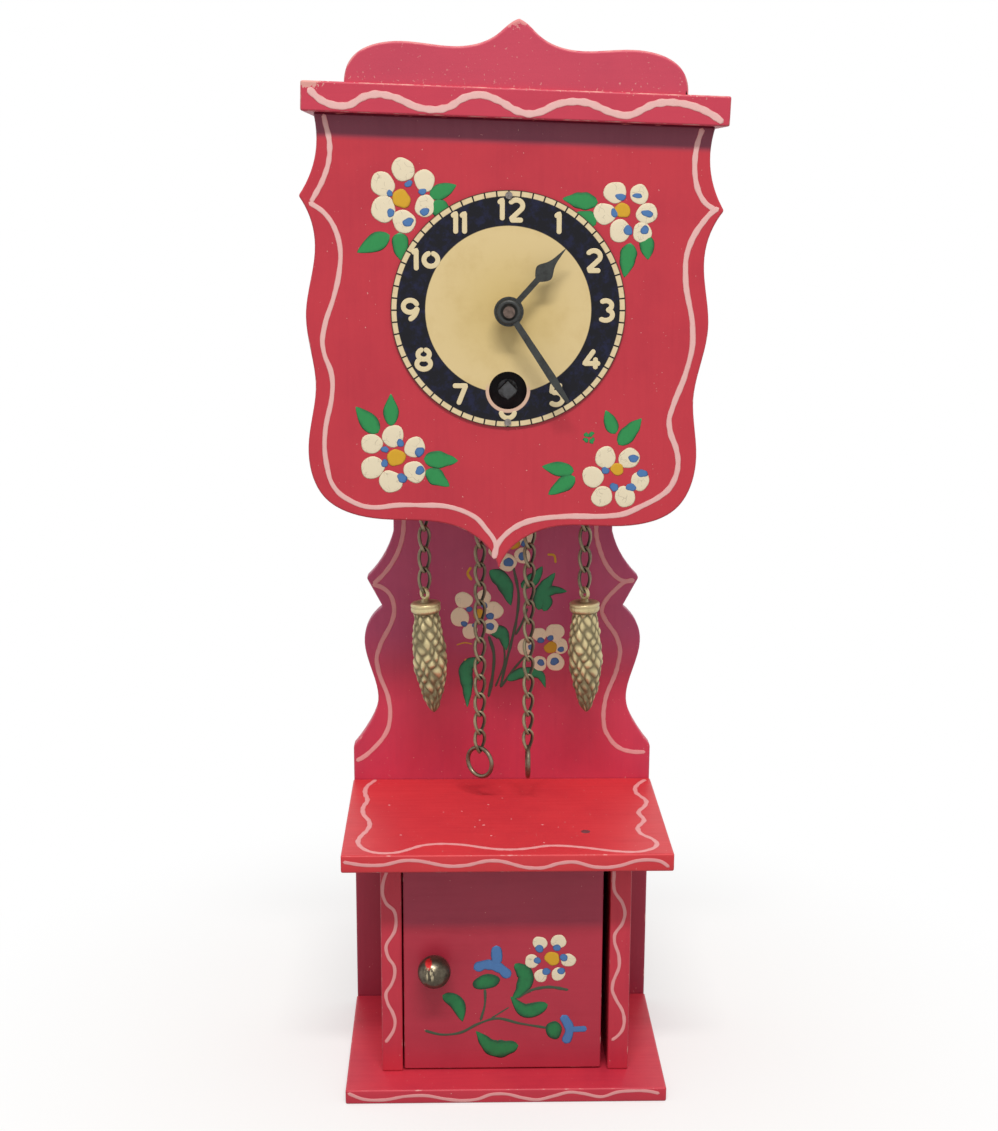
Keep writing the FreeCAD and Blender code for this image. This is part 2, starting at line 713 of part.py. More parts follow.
HOUR_REAR = f"({FACE} - dial_thick - hand_lift)"
MINUTE_REAR = f"({HOUR_REAR} - hand_thick - hand_gap)"
MINUTE_FACE = f"({MINUTE_REAR} - hand_thick)"
length = size.hour_length
node("hour_hand", hand("HourHand", [
    [(0, length), (0.3, 0.9 * length), (0.55, 0.81 * length), (1.25, 0.71 * length),
     (size.hour_spade, 0.61 * length), (1.45, 0.545 * length), (size.hour_shaft, 0.5 * length)],
    [(size.hour_shaft, 0.5 * length), (size.hour_shaft, 2.0)]],
    "hour_boss", "hour_pipe", HOUR_REAR, "30 * shown_hour + shown_minute / 2"))
length = size.minute_length
node("minute_hand", hand("MinuteHand", [
    [(0, length), (size.minute_tip, length - size.minute_tip)],
    [(size.minute_tip, length - size.minute_tip), (size.minute_leaf, 0.74 * length)],
    [(size.minute_leaf, 0.74 * length), (size.minute_foot, 1.8)]],
    "minute_boss", "cannon_pipe", MINUTE_REAR, "6 * shown_minute"))
node("hand_nut", at_dial(cut("HandNut", rod("NutBlank", "nut_radius", "nut_height", 0,
                                            f"{MINUTE_FACE} - nut_height", 0),
                             [rod("NutBore", "center_tail", "nut_height - nut_cap", 0,
                                  f"{MINUTE_FACE} - nut_height + nut_cap", 0)])))


# chains laid over pegs, with swinging runs below the hood's floor
def link(start, end, side):
    """One oval wire link between two joints of a chain, lying in the plane of its length and side."""
    axis = (end - start).normalize()
    reach = (end - start).Length / 2 + size.link_wire + size.link_play / 2 - size.link_half
    half = size.link_half
    corners = [Vector(x, 0, z) for x, z in ((half, -reach), (half, reach), (-half, reach), (-half, -reach))]
    path = Part.Wire([
        Part.makeLine(corners[0], corners[1]),
        Part.Arc(corners[1], Vector(0, 0, reach + half), corners[2]).toShape(),
        Part.makeLine(corners[2], corners[3]),
        Part.Arc(corners[3], Vector(0, 0, -reach - half), corners[0]).toShape()])
    ring = Part.Wire([Part.makeCircle(size.link_wire, corners[0], Vector(0, 0, 1))])
    shape = path.makePipeShell([ring], True, True)
    shape.Placement = Placement((start + end) / 2, Rotation(side, Vector(), axis, "ZXY"))
    return shape


def chain(label, joints, first_flat):
    """Links between consecutive joints, turned a quarter turn from one to the next."""
    links = []
    for i, (start, end) in enumerate(zip(joints, joints[1:])):
        flat = (i % 2 == 0) == first_flat
        axis = (end - start).normalize()
        side = axis.cross(Vector(0, 1, 0)) if flat else Vector(0, 1, 0)
        links.append(link(start, end, side))
    return node(label, made(label.title().replace("_", ""), Part.makeCompound(links)))


y_chain = y_back - size.chain_out
step = 2 * math.asin(size.link_pitch / 2 / loop_radius)
loop_turns = [0.5, 1.5, 2.5]
drop_joints = 3
side_joints = [(loop_radius * math.sin(n * step), loop_radius * math.cos(n * step)) for n in loop_turns]
for _ in range(drop_joints):
    low_x, low_z = side_joints[-1]
    next_x = loop_radius
    side_joints.append((next_x, low_z - math.sqrt(size.link_pitch ** 2 - (next_x - low_x) ** 2)))
peg_z = size.dial_height - size.loop_drop - loop_radius
run_top = peg_z + side_joints[-1][1]
node("chain_pegs", group("ChainPegs", [fuse(f"Peg{i}", [
    rod(f"PegBody{i}", f"{LOOP} - chain_seat", "peg_reach", x, f"{BACK} - peg_reach", PEG_Z),
    rod(f"PegTenon{i}", "peg_tenon", "back_thick - peg_cover", x, BACK, PEG_Z)])
    for i, x in enumerate((-peg_x, peg_x))]))
for side, sign in (("left", -1), ("right", 1)):
    loop = [(-x, z) for x, z in reversed(side_joints)] + side_joints
    chain(f"chain_{side}_loop", [Vector(sign * peg_x + x, y_chain, peg_z + z) for x, z in loop], False)
    for kind, links in (("weight", size.weight_links), ("free", size.free_links)):
        x = runs[f"{side}_{kind}"]
        chain(f"chain_{side}_{kind}_run", [Vector(x, y_chain, run_top - n * size.link_pitch)
                                           for n in range(int(links) + 1)], True)

# pinecone weights and end rings
last_weight = run_top - size.weight_links * size.link_pitch - size.link_wire - size.link_play / 2
lug_z = last_weight + size.link_wire + size.link_play + size.lug_wire - size.lug_radius
cap_top = lug_z - size.lug_radius - size.lug_wire - size.lug_lift
cap_low = cap_top - size.cap_height
tip = cap_low - size.cone_length
cap, cone = size.cap_radius, size.cone_radius
cone_outline = [
    [(0, cap_top), (0.86 * cap, cap_top)],
    [(0.86 * cap, cap_top), (cap, cap_top - 0.5), (cap, cap_low + 0.5), (0.9 * cap, cap_low)],
    [(0.9 * cap, cap_low), (0.92 * cone, cap_low - 0.25 * size.cone_length),
     (cone, cap_low - 0.46 * size.cone_length), (0.84 * cone, cap_low - 0.76 * size.cone_length), (0, tip)],
    [(0, tip), (0, cap_top)]]


def turned(name, edges, x):
    """Turn an outline in the XZ plane about the vertical through (x, the chains' plane)."""
    body = doc.addObject("PartDesign::Body", name)
    sketch = sketch_on(body, "XZ")
    for points in edges:
        points = [Vector(px, pz, 0) for px, pz in points]
        if len(points) == 2:
            sketch.addGeometry(Part.LineSegment(*points), False)
        else:
            spline = Part.BSplineCurve()
            spline.interpolate(points)
            sketch.addGeometry(spline, False)
    turn = body.newObject("PartDesign::Revolution", name + "Turn")
    turn.Profile = sketch
    turn.ReferenceAxis = (sketch, ["V_Axis"])
    turn.Angle = 360
    return put(body, x, f"{BACK} - chain_out", 0)


def hoop(name, radius, wire, x, z, turn):
    """A wire ring standing on edge, its axis turned from X about the vertical."""
    obj = doc.addObject("Part::Torus", name)
    obj.Placement = Placement(Vector(), Rotation(Vector(0, 0, 1), turn) * Rotation(Vector(0, 1, 0), 90))
    return put(bind(obj, Radius1=radius, Radius2=wire), x, f"{BACK} - chain_out", z)


def hung(obj, x, tilt):
    """Tilt a weight about the middle of its lug, where it binds on the last link."""
    obj.Placement = Placement(Vector(), Rotation(Vector(0, 1, 0), -tilt), Vector(x, y_chain, lug_z))
    return obj


last_free = run_top - size.free_links * size.link_pitch - size.link_wire - size.link_play / 2
ring_z = last_free + size.link_wire + 2 * size.link_play + size.ring_wire - size.ring_radius
tilts = {"left": size.weight_tilt_left, "right": size.weight_tilt_right}
for side, turn in (("left", size.ring_turn_left), ("right", 0)):
    x = runs[f"{side}_weight"]
    title = side.title()
    node(f"weight_{side}", hung(fuse(f"Weight{title}", [
        turned(f"Cone{title}", cone_outline, x),
        rod(f"LugStem{title}", "lug_stem", "lug_sunk + lug_neck", x, f"{BACK} - chain_out",
            f"{cap_top} - lug_sunk", True),
        hoop(f"Lug{title}", "lug_radius", "lug_wire", x, lug_z, 0)]), x, tilts[side]))
    node(f"ring_{side}", hoop(f"Ring{title}", "ring_radius", "ring_wire", runs[f"{side}_free"], ring_z, turn))

# movement, drawn about the hands' axis; depths count from the rear face of the front plate
INSIDE = f"({PLATE} + plate_thick)"
y_inside = y_face + size.front_thick + size.plate_thick


def away(start, distance, degrees):
    return (start[0] + distance * math.cos(math.radians(degrees)),
            start[1] + distance * math.sin(math.radians(degrees)))


def heading(start, end):
    return math.atan2(end[1] - start[1], end[0] - start[0])


center = (0.0, 0.0)
winding = (0.0, -size.winding_drop)
great_module = 2 * size.winding_drop / (size.great_teeth + size.leaves)
third = away(center, (size.center_teeth + size.leaves) / 2 * size.center_module, size.third_angle)
fourth = away(third, (size.third_teeth + size.leaves) / 2 * size.third_module, size.fourth_angle)
escape = away(fourth, (size.fourth_teeth + size.leaves) / 2 * size.fourth_module, size.escape_angle)
lever = away(escape, size.lever_distance, size.lever_angle)
balance = away(lever, size.balance_distance, size.lever_angle)
motion = away(center, size.motion_distance, size.motion_angle)
cannon_module = 2 * size.motion_distance / (size.cannon_leaves + size.minute_teeth)
hour_module = 2 * size.motion_distance / (size.minute_leaves + size.hour_teeth)


def prism(points, start, end):
    """A flat piece from depth start to depth end."""
    points = [Vector(x, y_inside + start, z) for x, z in points]
    return Part.Face(Part.makePolygon(points + points[:1])).extrude(Vector(0, end - start, 0))


def teeth_around(spot, count, phase, profile):
    """Repeat (radius, share of a tooth's pitch) points about a centre."""
    pitch = 2 * math.pi / count
    turns = [(radius, phase + (i + share) * pitch) for i in range(int(count)) for radius, share in profile]
    return [(spot[0] + radius * math.cos(turn), spot[1] + radius * math.sin(turn)) for radius, turn in turns]


def gear(name, spot, count, module, phase, start, end):
    """A wheel or pinion with straight-flanked teeth, one of them at the phase angle."""
    pitch_radius = module * count / 2
    root = pitch_radius - size.tooth_depth * module
    tip_radius = pitch_radius + size.tooth_height * module
    profile = [(root, -size.tooth_foot), (tip_radius, -size.tooth_tip),
               (tip_radius, size.tooth_tip), (root, size.tooth_foot)]
    return made(name, prism(teeth_around(spot, count, phase, profile), start, end))


def arbor(name, spot, steps):
    return [rod(f"{name}Step{i}", radius, f"{end} - ({start})", spot[0], f"{INSIDE} + {start}", spot[1])
            for i, (radius, start, end) in enumerate(steps)]


def bar(start, end, width, low, high):
    """A straight flat bar between two points."""
    angle = heading(start, end)
    dx, dz = -math.sin(angle) * width / 2, math.cos(angle) * width / 2
    return prism([(start[0] + dx, start[1] + dz), (start[0] - dx, start[1] - dz),
                  (end[0] - dx, end[1] - dz), (end[0] + dx, end[1] + dz)], low, high)


def peg(spot, radius, low, high):
    return Part.makeCylinder(radius, high - low, Vector(spot[0], y_inside + low, spot[1]), Vector(0, 1, 0))


def spiral(spot, inner, pitch, turns, thick, low, high):
    """A flat strip wound in half turns about two near centres."""
    grow = pitch / 2
    sides = []
    for offset in (thick / 2, -thick / 2):
        arcs = []
        for k in range(int(2 * turns)):
            middle = spot[0] + (grow / 2 if k % 2 else -grow / 2)
            r = inner + thick / 2 + k * grow + offset
            sign = -1 if k % 2 else 1
            arcs.append([Vector(middle + sign * r, y_inside + low, spot[1]),
                         Vector(middle, y_inside + low, spot[1] + sign * r),
                         Vector(middle - sign * r, y_inside + low, spot[1])])
        sides.append(arcs)
    edges = [Part.Arc(*points).toShape() for arcs in sides for points in arcs]
    edges += [Part.makeLine(sides[0][0][0], sides[1][0][0]), Part.makeLine(sides[0][-1][2], sides[1][-1][2])]
    wire = Part.Wire(Part.__sortEdges__(edges))
    return Part.Face(wire).extrude(Vector(0, high - low, 0))


GAP = "plate_gap"
gap = size.plate_gap
pillars = [(sign * size.pillar_across, z) for sign in (-1, 1) for z in (size.pillar_high, -size.pillar_low)]
small_spots = {"Third": third, "Fourth": fourth, "Escape": escape, "Lever": lever}


def plate(name, rear, extra):
    blank = board(name + "Blank", "XZ", "plate_width", "plate_height", "plate_thick",
                  0, "-plate_drop", f"-({rear})")
    front = f"{rear} - plate_thick"
    holes = [rod(f"{name}{spot}Hole", "pivot_small + pivot_clear", "plate_thick", place[0], front, place[1])
             for spot, place in small_spots.items()]
    holes.append(rod(name + "BalanceHole", "cup_radius", "plate_thick", balance[0], front, balance[1]))
    holes += [rod(f"{name}Hole{i}", radius, "plate_thick", x, front, z)
              for i, (radius, x, z) in enumerate(extra)]
    return cut(name + "Drilled", blank, holes)


spring_outer = size.spring_inner + size.spring_pitch * size.spring_turns
spring_post = away(winding, spring_outer + size.spring_post_gap, 180)
front_plate = plate("FrontPlate", INSIDE, [
    ("center_pivot + pivot_clear", 0, 0), ("winding_pivot + pivot_clear", 0, "-winding_drop")]
    + [("pillar_rivet", x, z) for x, z in pillars] + [("screw_radius", x, z) for x, z in plate_screws])
node("movement_front_plate", at_dial(fuse("FrontPlate", [
    front_plate,
    rod("MinutePost", "minute_post", "front_thick - motion_clear",
        motion[0], f"{FACE} + motion_clear", motion[1]),
    rod("SpringPost", "spring_post_radius", "spring_start + spring_width", spring_post[0], INSIDE,
        spring_post[1])])))
stud = away(balance, size.hair_inner + size.hair_pitch * size.hair_turns + size.hair_stud_gap, 180)
back_plate = plate("BackPlate", f"{INSIDE} + plate_gap + plate_thick", [
    ("center_rear + pivot_clear", 0, 0), ("winding_rear + pivot_clear", 0, "-winding_drop")]
    + [("pillar_screw", x, z) for x, z in pillars])
node("movement_back_plate", at_dial(fuse("BackPlate", [
    back_plate, rod("HairStud", "hair_stud", "plate_gap - hair_start", stud[0], f"{INSIDE} + hair_start",
                    stud[1])])))
node("movement_pillars", at_dial(group("Pillars", [cut(f"Pillar{i}", fuse(f"PillarBlank{i}", [
    rod(f"PillarBody{i}", "pillar_radius", GAP, x, INSIDE, z),
    rod(f"PillarRivet{i}", "pillar_rivet", "plate_thick", x, PLATE, z)]),
    [rod(f"PillarBore{i}", "pillar_screw", "pillar_bore", x, f"{INSIDE} + plate_gap - pillar_bore", z)])
    for i, (x, z) in enumerate(pillars)])))
node("pillar_screws", at_dial(group("PillarScrews", [
    nail(f"PillarScrew{i}", "pillar_screw", "plate_thick + pillar_screw_grip", "pillar_screw_head",
         "pillar_screw_rise", x, f"{INSIDE} + plate_gap + plate_thick", z)
    for i, (x, z) in enumerate(pillars)])))
node("movement_screws", at_dial(group("PlateScrews", [
    nail(f"PlateScrew{i}", "screw_radius", "plate_thick + front_thick - plate_screw_short",
         "screw_head_radius", "screw_head", x, INSIDE, z) for i, (x, z) in enumerate(plate_screws)])))

# winding arbor, mainspring, great wheel and click
node("mainspring", at_dial(made("Mainspring", spiral(
    winding, size.spring_inner, size.spring_pitch, size.spring_turns, size.spring_thick,
    size.spring_start, size.spring_start + size.spring_width))))
square = bind(doc.addObject("Part::Box", "WindingSquare"),
              Length="winding_square", Height="winding_square", Width="front_thick + dial_thick")
square.Placement = Placement(Vector(), Rotation(Vector(0, 1, 0), 45))
put(square, "-winding_square / sqrt(2)", f"{FACE} - winding_proud", "-winding_drop")
node("winding_arbor", at_dial(fuse("WindingArbor", [square] + arbor("Winding", winding, [
    ("winding_pivot", "-plate_thick - winding_proud", "shoulder"),
    ("winding_body", "shoulder", "plate_gap - shoulder"),
    ("collar_radius", "collar_start", "collar_start + collar_thick"),
    ("winding_rear", "plate_gap - shoulder", "plate_gap + plate_thick")]))))
ratchet_phase = math.radians(size.click_angle + size.nose_angle - size.nose_lag)
ratchet_end = size.ratchet_start + size.ratchet_thick
ratchet_profile = [(size.ratchet_tip, 0.0), (size.ratchet_root, 0.04)]
node("ratchet_wheel", at_dial(cut("Ratchet", made("RatchetBlank", prism(
    teeth_around(winding, size.ratchet_teeth, ratchet_phase, ratchet_profile),
    size.ratchet_start, ratchet_end)),
    arbor("RatchetBore", winding, [("winding_body", "ratchet_start", "ratchet_start + ratchet_thick")]))))


def by_click(radius, degrees):
    """A point on the great wheel, counted from the direction of the click's pivot."""
    return away(winding, radius, size.click_angle + degrees)


click_pivot = by_click(size.click_radius, 0)
great_end = size.great_start + size.great_thick
great_holes = [by_click(size.great_hole_circle, 45 + 90 * i) for i in range(4)]
node("great_wheel", at_dial(cut("GreatWheel", fuse("GreatBlank", [
    gear("GreatTeeth", winding, size.great_teeth, great_module, heading(winding, center),
         size.great_start, great_end)]
    + arbor("ClickStud", click_pivot, [("click_stud", "great_start + great_thick",
                                        "click_start + click_thick + motion_clear")])),
    arbor("GreatBore", winding, [("winding_body + pivot_clear", "great_start", "great_start + great_thick")])
    + [rod(f"GreatCross{i}", "great_hole", "great_thick", x, f"{INSIDE} + great_start", z)
       for i, (x, z) in enumerate(great_holes)])))
nose = size.nose_angle
click_end = size.click_start + size.click_thick
click_outline = [by_click(size.click_radius - 0.4, 5), by_click(7.5, nose + 20), by_click(6.2, nose + 2.6),
                 by_click(6.2, nose - 2.4), by_click(7.3, nose - 2.4), by_click(size.click_radius + 1.1, -5)]
click_shape = prism(click_outline, size.click_start, click_end)
click_shape = click_shape.fuse(peg(click_pivot, size.click_boss, size.click_start, click_end))
click_bore = size.click_stud + size.pivot_clear
click_shape = click_shape.cut(peg(click_pivot, click_bore, size.click_start, click_end))
node("click", at_dial(made("Click", click_shape)))
spring_foot, spring_bend, spring_end = by_click(14.2, 16), by_click(12.4, -5.6), by_click(8.8, -28.7)
strip = (size.click_spring_start, size.click_spring_start + size.click_spring_width)
click_strip = peg(spring_foot, size.click_spring_foot, great_end, click_end).fuse([
    bar(spring_foot, spring_bend, size.click_spring_thick, *strip),
    peg(spring_bend, size.click_spring_thick / 2, *strip),
    bar(spring_bend, spring_end, size.click_spring_thick, *strip)])
node("click_spring", at_dial(made("ClickSpring", click_strip)))


# centre arbor, hands' wheels and the going train
def meshing(start, thick):
    """The depths of a pinion that overlaps its wheel on both sides."""
    return start - size.pinion_over, start + thick + size.pinion_over


node("center_arbor", at_dial(fuse("CenterArbor", [
    gear("CenterLeaves", center, size.leaves, great_module, heading(center, winding) + math.pi / size.leaves,
         *meshing(size.great_start, size.great_thick))]
    + arbor("Center", center, [
        ("center_pivot", "-plate_thick - motion_gap", "shoulder"),
        ("center_body", "shoulder", "plate_gap - shoulder"),
        ("center_rear", "plate_gap - shoulder", "plate_gap + plate_thick")])
    + [rod("CenterTail", "center_tail", f"{PLATE} - motion_gap - {MINUTE_FACE} + nut_height - nut_cap", 0,
           f"{MINUTE_FACE} - nut_height + nut_cap", 0)])))
node("center_wheel", at_dial(cut("CenterWheel", gear(
    "CenterTeeth", center, size.center_teeth, size.center_module, heading(center, third),
    size.center_start, size.center_start + size.wheel_thick),
    arbor("CenterWheelBore", center, [("center_body", "center_start", "center_start + wheel_thick")]))))
cannon_high = -size.plate_thick - size.motion_gap
cannon_low = cannon_high - size.cannon_thick
CANNON_LENGTH = f"{PLATE} - motion_gap - {MINUTE_FACE}"
node("cannon_pinion", at_dial(cut("Cannon", fuse("CannonBlank", [
    gear("CannonLeaves", center, size.cannon_leaves, cannon_module, heading(center, motion),
         cannon_low, cannon_high),
    rod("CannonPipe", "cannon_pipe", CANNON_LENGTH, 0, MINUTE_FACE, 0)]),
    [rod("CannonBore", "center_tail", CANNON_LENGTH, 0, MINUTE_FACE, 0)])))
minute_high = cannon_high - size.motion_gap
minute_low = minute_high - size.wheel_thick
leaves_low = minute_low - size.minute_leaves_thick
node("minute_wheel", at_dial(cut("MinuteWheel", fuse("MinuteBlank", [
    gear("MinuteTeeth", motion, size.minute_teeth, cannon_module,
         heading(motion, center) + math.pi / size.minute_teeth, minute_low, minute_high),
    gear("MinuteLeaves", motion, size.minute_leaves, hour_module, heading(motion, center),
         leaves_low, minute_low)]),
    arbor("MinuteBore", motion, [("minute_post + pivot_clear", str(leaves_low), str(minute_high))]))))
hour_high = -size.plate_thick - size.hour_start
HOUR_FACE = f"({HOUR_REAR} - hand_thick)"
HOUR_LENGTH = f"{PLATE} - hour_start - {HOUR_FACE}"
node("hour_wheel", at_dial(cut("HourWheel", fuse("HourBlank", [
    gear("HourTeeth", center, size.hour_teeth, hour_module,
         heading(center, motion) + math.pi / size.hour_teeth, hour_high - size.wheel_thick, hour_high),
    rod("HourPipe", "hour_pipe", HOUR_LENGTH, 0, HOUR_FACE, 0)]),
    [rod("HourBore", "cannon_pipe + pivot_clear", HOUR_LENGTH, 0, HOUR_FACE, 0)])))


def pivoted(name, spot, body):
    """A small arbor between the plates, with a pivot in each."""
    return arbor(name, spot, [
        ("pivot_small", "-plate_thick", "shoulder"), (body, "shoulder", "plate_gap - shoulder"),
        ("pivot_small", "plate_gap - shoulder", "plate_gap + plate_thick")])


def pinion(name, spot, before, module, start):
    """A pinion driven from the wheel that starts at the given depth on the arbor before it."""
    return gear(name, spot, size.leaves, module, heading(spot, before) + math.pi / size.leaves,
                *meshing(start, size.wheel_thick))


node("third_wheel", at_dial(fuse("ThirdWheel", [
    pinion("ThirdLeaves", third, center, size.center_module, size.center_start),
    gear("ThirdTeeth", third, size.third_teeth, size.third_module, heading(third, fourth),
         size.third_start, size.third_start + size.wheel_thick)]
    + pivoted("ThirdArbor", third, "arbor_radius"))))
node("fourth_wheel", at_dial(fuse("FourthWheel", [
    pinion("FourthLeaves", fourth, third, size.third_module, size.third_start),
    gear("FourthTeeth", fourth, size.fourth_teeth, size.fourth_module, heading(fourth, escape),
         size.fourth_start, size.fourth_start + size.wheel_thick)]
    + pivoted("FourthArbor", fourth, "arbor_radius"))))
escape_phase = math.radians(size.lever_angle - size.pallet_spread + 180 / size.escape_teeth)
escape_profile = [(size.escape_root, -0.30), (size.escape_tip, -0.06),
                  (size.escape_tip, 0.06), (size.escape_root, 0.16)]
node("escape_wheel", at_dial(fuse("EscapeWheel", [
    pinion("EscapeLeaves", escape, fourth, size.fourth_module, size.fourth_start),
    made("EscapeTeeth", prism(teeth_around(escape, size.escape_teeth, escape_phase, escape_profile),
                              size.escape_start, size.escape_start + size.escape_thick))]
    + pivoted("EscapeArbor", escape, "arbor_radius"))))

# pin lever and balance
along = size.lever_angle
flat = (size.lever_start, size.lever_start + size.lever_thick)
pallet_circle = size.escape_tip + size.pallet_gap
pallets = [away(escape, pallet_circle, along + sign * size.pallet_spread) for sign in (-1, 1)]
pallet_low = size.escape_start - size.motion_gap
fork_base = away(lever, size.balance_distance - size.fork_back, along)
fork_feet = [away(fork_base, size.fork_half, along + turn) for turn in (-90, 90)]
cross_ends = [away(fork_base, size.fork_half + size.fork_wire / 2, along + turn) for turn in (-90, 90)]
lever_shape = peg(lever, 1.1, *flat).fuse(
    [bar(lever, spot, size.lever_arm, *flat) for spot in pallets + [fork_base]]
    + [peg(spot, size.lever_arm / 2, *flat) for spot in pallets]
    + [peg(spot, size.pallet_radius, pallet_low, size.lever_start) for spot in pallets]
    + [bar(*cross_ends, size.lever_arm, *flat)]
    + [bar(foot, away(foot, size.fork_length, along), size.fork_wire, *flat) for foot in fork_feet])
node("lever", at_dial(fuse("Lever", [made("LeverFork", lever_shape)]
                           + pivoted("LeverArbor", lever, "staff_radius"))))

rim = size.balance_radius
rim_end = size.balance_start + size.balance_thick
arm = [away(balance, rim - size.balance_rim / 2, along + turn) for turn in (90, 270)]
impulse = away(balance, size.impulse_circle, along + 180)
balance_shape = peg(balance, rim, size.balance_start, rim_end)
balance_shape = balance_shape.cut(peg(balance, rim - size.balance_rim, size.balance_start, rim_end)).fuse([
    bar(arm[0], arm[1], size.balance_rim, size.balance_start, rim_end),
    peg(balance, size.balance_rim, size.balance_start, rim_end),
    peg(balance, size.roller_radius, size.roller_start, size.roller_start + size.roller_thick),
    peg(impulse, size.impulse_radius, size.impulse_start, size.roller_start),
    peg(balance, size.hair_collet, size.hair_start, size.hair_start + size.hair_width)])
node("balance_wheel", at_dial(fuse("Balance", [made("BalanceRim", balance_shape)] + arbor("Staff", balance, [
    ("staff_pivot", "0", "cup_floor"), ("staff_radius", "cup_floor", "plate_gap - cup_floor"),
    ("staff_pivot", "plate_gap - cup_floor", GAP)]))))
CUP_DEEP = "cup_floor - cup_rise + shoulder"
node("balance_cups", at_dial(group("BalanceCups", [
    cut("CupFront", arbor("CupFrontBody", balance, [("cup_radius", "-plate_thick", "cup_rise")])[0],
        arbor("CupFrontBore", balance, [("staff_pivot + pivot_clear", f"-({CUP_DEEP})", "cup_rise")])),
    cut("CupRear", arbor("CupRearBody", balance, [
        ("cup_radius", "plate_gap - cup_rise", "plate_gap + plate_thick")])[0],
        arbor("CupRearBore", balance, [
            ("staff_pivot + pivot_clear", "plate_gap - cup_rise", f"plate_gap + {CUP_DEEP}")]))])))
node("hairspring", at_dial(made("Hairspring", spiral(
    balance, size.hair_inner, size.hair_pitch, size.hair_turns, size.hair_thick,
    size.hair_start, size.hair_start + size.hair_width))))

doc.recompute()
for obj in doc.Objects:
    if "Invalid" in obj.State or "Error" in obj.State:
        raise RuntimeError(f"{obj.Label} failed: {obj.State}")
os.makedirs("parts", exist_ok=True)
for obj in nodes:
    if obj.Shape.isNull() or not obj.Shape.isValid() or not obj.Shape.Solids:
        raise RuntimeError(f"{obj.Label} has no valid solid")
    obj.Shape.exportStep(f"parts/{obj.Label}.step")
print(len(nodes), "parts written")
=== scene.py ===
import math

import bmesh
import bpy
import numpy as np
from mathutils import Matrix, Vector
from mathutils.geometry import tessellate_polygon


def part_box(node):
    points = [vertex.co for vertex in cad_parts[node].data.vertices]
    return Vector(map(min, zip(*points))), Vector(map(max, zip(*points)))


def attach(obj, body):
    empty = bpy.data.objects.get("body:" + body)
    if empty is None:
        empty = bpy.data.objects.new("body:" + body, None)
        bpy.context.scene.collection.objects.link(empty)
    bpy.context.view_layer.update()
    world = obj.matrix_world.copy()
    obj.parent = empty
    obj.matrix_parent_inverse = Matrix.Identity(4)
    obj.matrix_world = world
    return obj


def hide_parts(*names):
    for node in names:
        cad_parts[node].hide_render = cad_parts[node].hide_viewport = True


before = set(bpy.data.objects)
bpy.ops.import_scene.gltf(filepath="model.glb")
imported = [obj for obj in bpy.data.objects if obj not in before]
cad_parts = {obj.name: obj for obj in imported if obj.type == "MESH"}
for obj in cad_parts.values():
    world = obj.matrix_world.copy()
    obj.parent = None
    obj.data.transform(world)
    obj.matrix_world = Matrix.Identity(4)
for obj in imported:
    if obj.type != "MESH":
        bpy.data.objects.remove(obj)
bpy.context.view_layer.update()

# Base board
# The clock stands on a sawn softwood board, glued to the back board and nailed from behind. Its arrises are
# broken with sandpaper, it is brushed with red paint, and a white wave runs along its front edge.
MM = 0.001
X, Y, Z = range(3)
EASE, BASE_FRONT = 0.45 * MM, -26.4 * MM
SHARP_CORNER, ARRIS_STEPS = math.radians(25), 5
LINE_LIFT, BASE_WAVE_HALF = 0.045, 0.42
RED, DEEP_RED, WORN = (0.600, 0.036, 0.062), (0.440, 0.020, 0.050), (0.74, 0.33, 0.31)
CRACK_BROWN = (0.06, 0.04, 0.03)
ALONG_X, ALONG_Z = (0.06, 1, 1), (1, 1, 0.06)
SURFACE = {"Color": "Color", "Roughness": "Float", "Height": "Float"}


class Value:
    """One output of a shader node. Arithmetic on it adds the nodes that work out the result."""

    def __init__(self, node, output=0):
        self.tree, self.socket = node.id_data, node.outputs[output]

    def worked(self, operation, *others, kind="Math", output=0):
        """One step of arithmetic on numbers, or on vectors."""
        return Value(place(self.tree, kind, dict(enumerate((self, *others))), operation=operation), output)

    def __add__(self, other):
        return self.worked("ADD", other)

    def __sub__(self, other):
        return self.worked("SUBTRACT", other)

    def __mul__(self, other):
        return self.worked("MULTIPLY", other)

    def __pow__(self, power):
        return self.worked("POWER", power)

    def eased(self, low, high, start=0.0, end=1.0):
        """A smooth step: start below low, end above high."""
        limits = {"Value": self, "From Min": low, "From Max": high, "To Min": start, "To Max": end}
        return Value(place(self.tree, "MapRange", limits, interpolation_type="SMOOTHSTEP"))

    def mixed(self, first, second):
        """Blends the first colour into the second, by this share from 0 to 1."""
        return Value(place(self.tree, "Mix", {0: self, 6: first, 7: second}, data_type="RGBA"), 2)

    def noise(self, scale, detail=3.0, roughness=0.5, output=0):
        """Cloudy noise at these coordinates, its lumps one over scale metres across."""
        sockets = {"Vector": self, "Scale": scale, "Detail": detail, "Roughness": roughness}
        return Value(place(self.tree, "TexNoise", sockets), output)

    def stretched(self, scale, shift=(0, 0, 0)):
        """Coordinates scaled on each axis: a pattern is drawn out along the axis with the small number."""
        return Value(place(self.tree, "Mapping", {"Vector": self, "Location": shift, "Scale": scale}))

    def axes(self):
        """The three parts of coordinates."""
        parts = place(self.tree, "SeparateXYZ", {0: self})
        return [Value(parts, axis) for axis in (X, Y, Z)]


def feed(node, sockets):
    """Gives each named socket a plain value or another node's output. Plain colours are opaque."""
    for name, value in sockets.items():
        socket = node.inputs[name]
        if isinstance(value, Value):
            node.id_data.links.new(value.socket, socket)
        else:
            socket.default_value = (*value, 1) if socket.type == "RGBA" else value
    return node


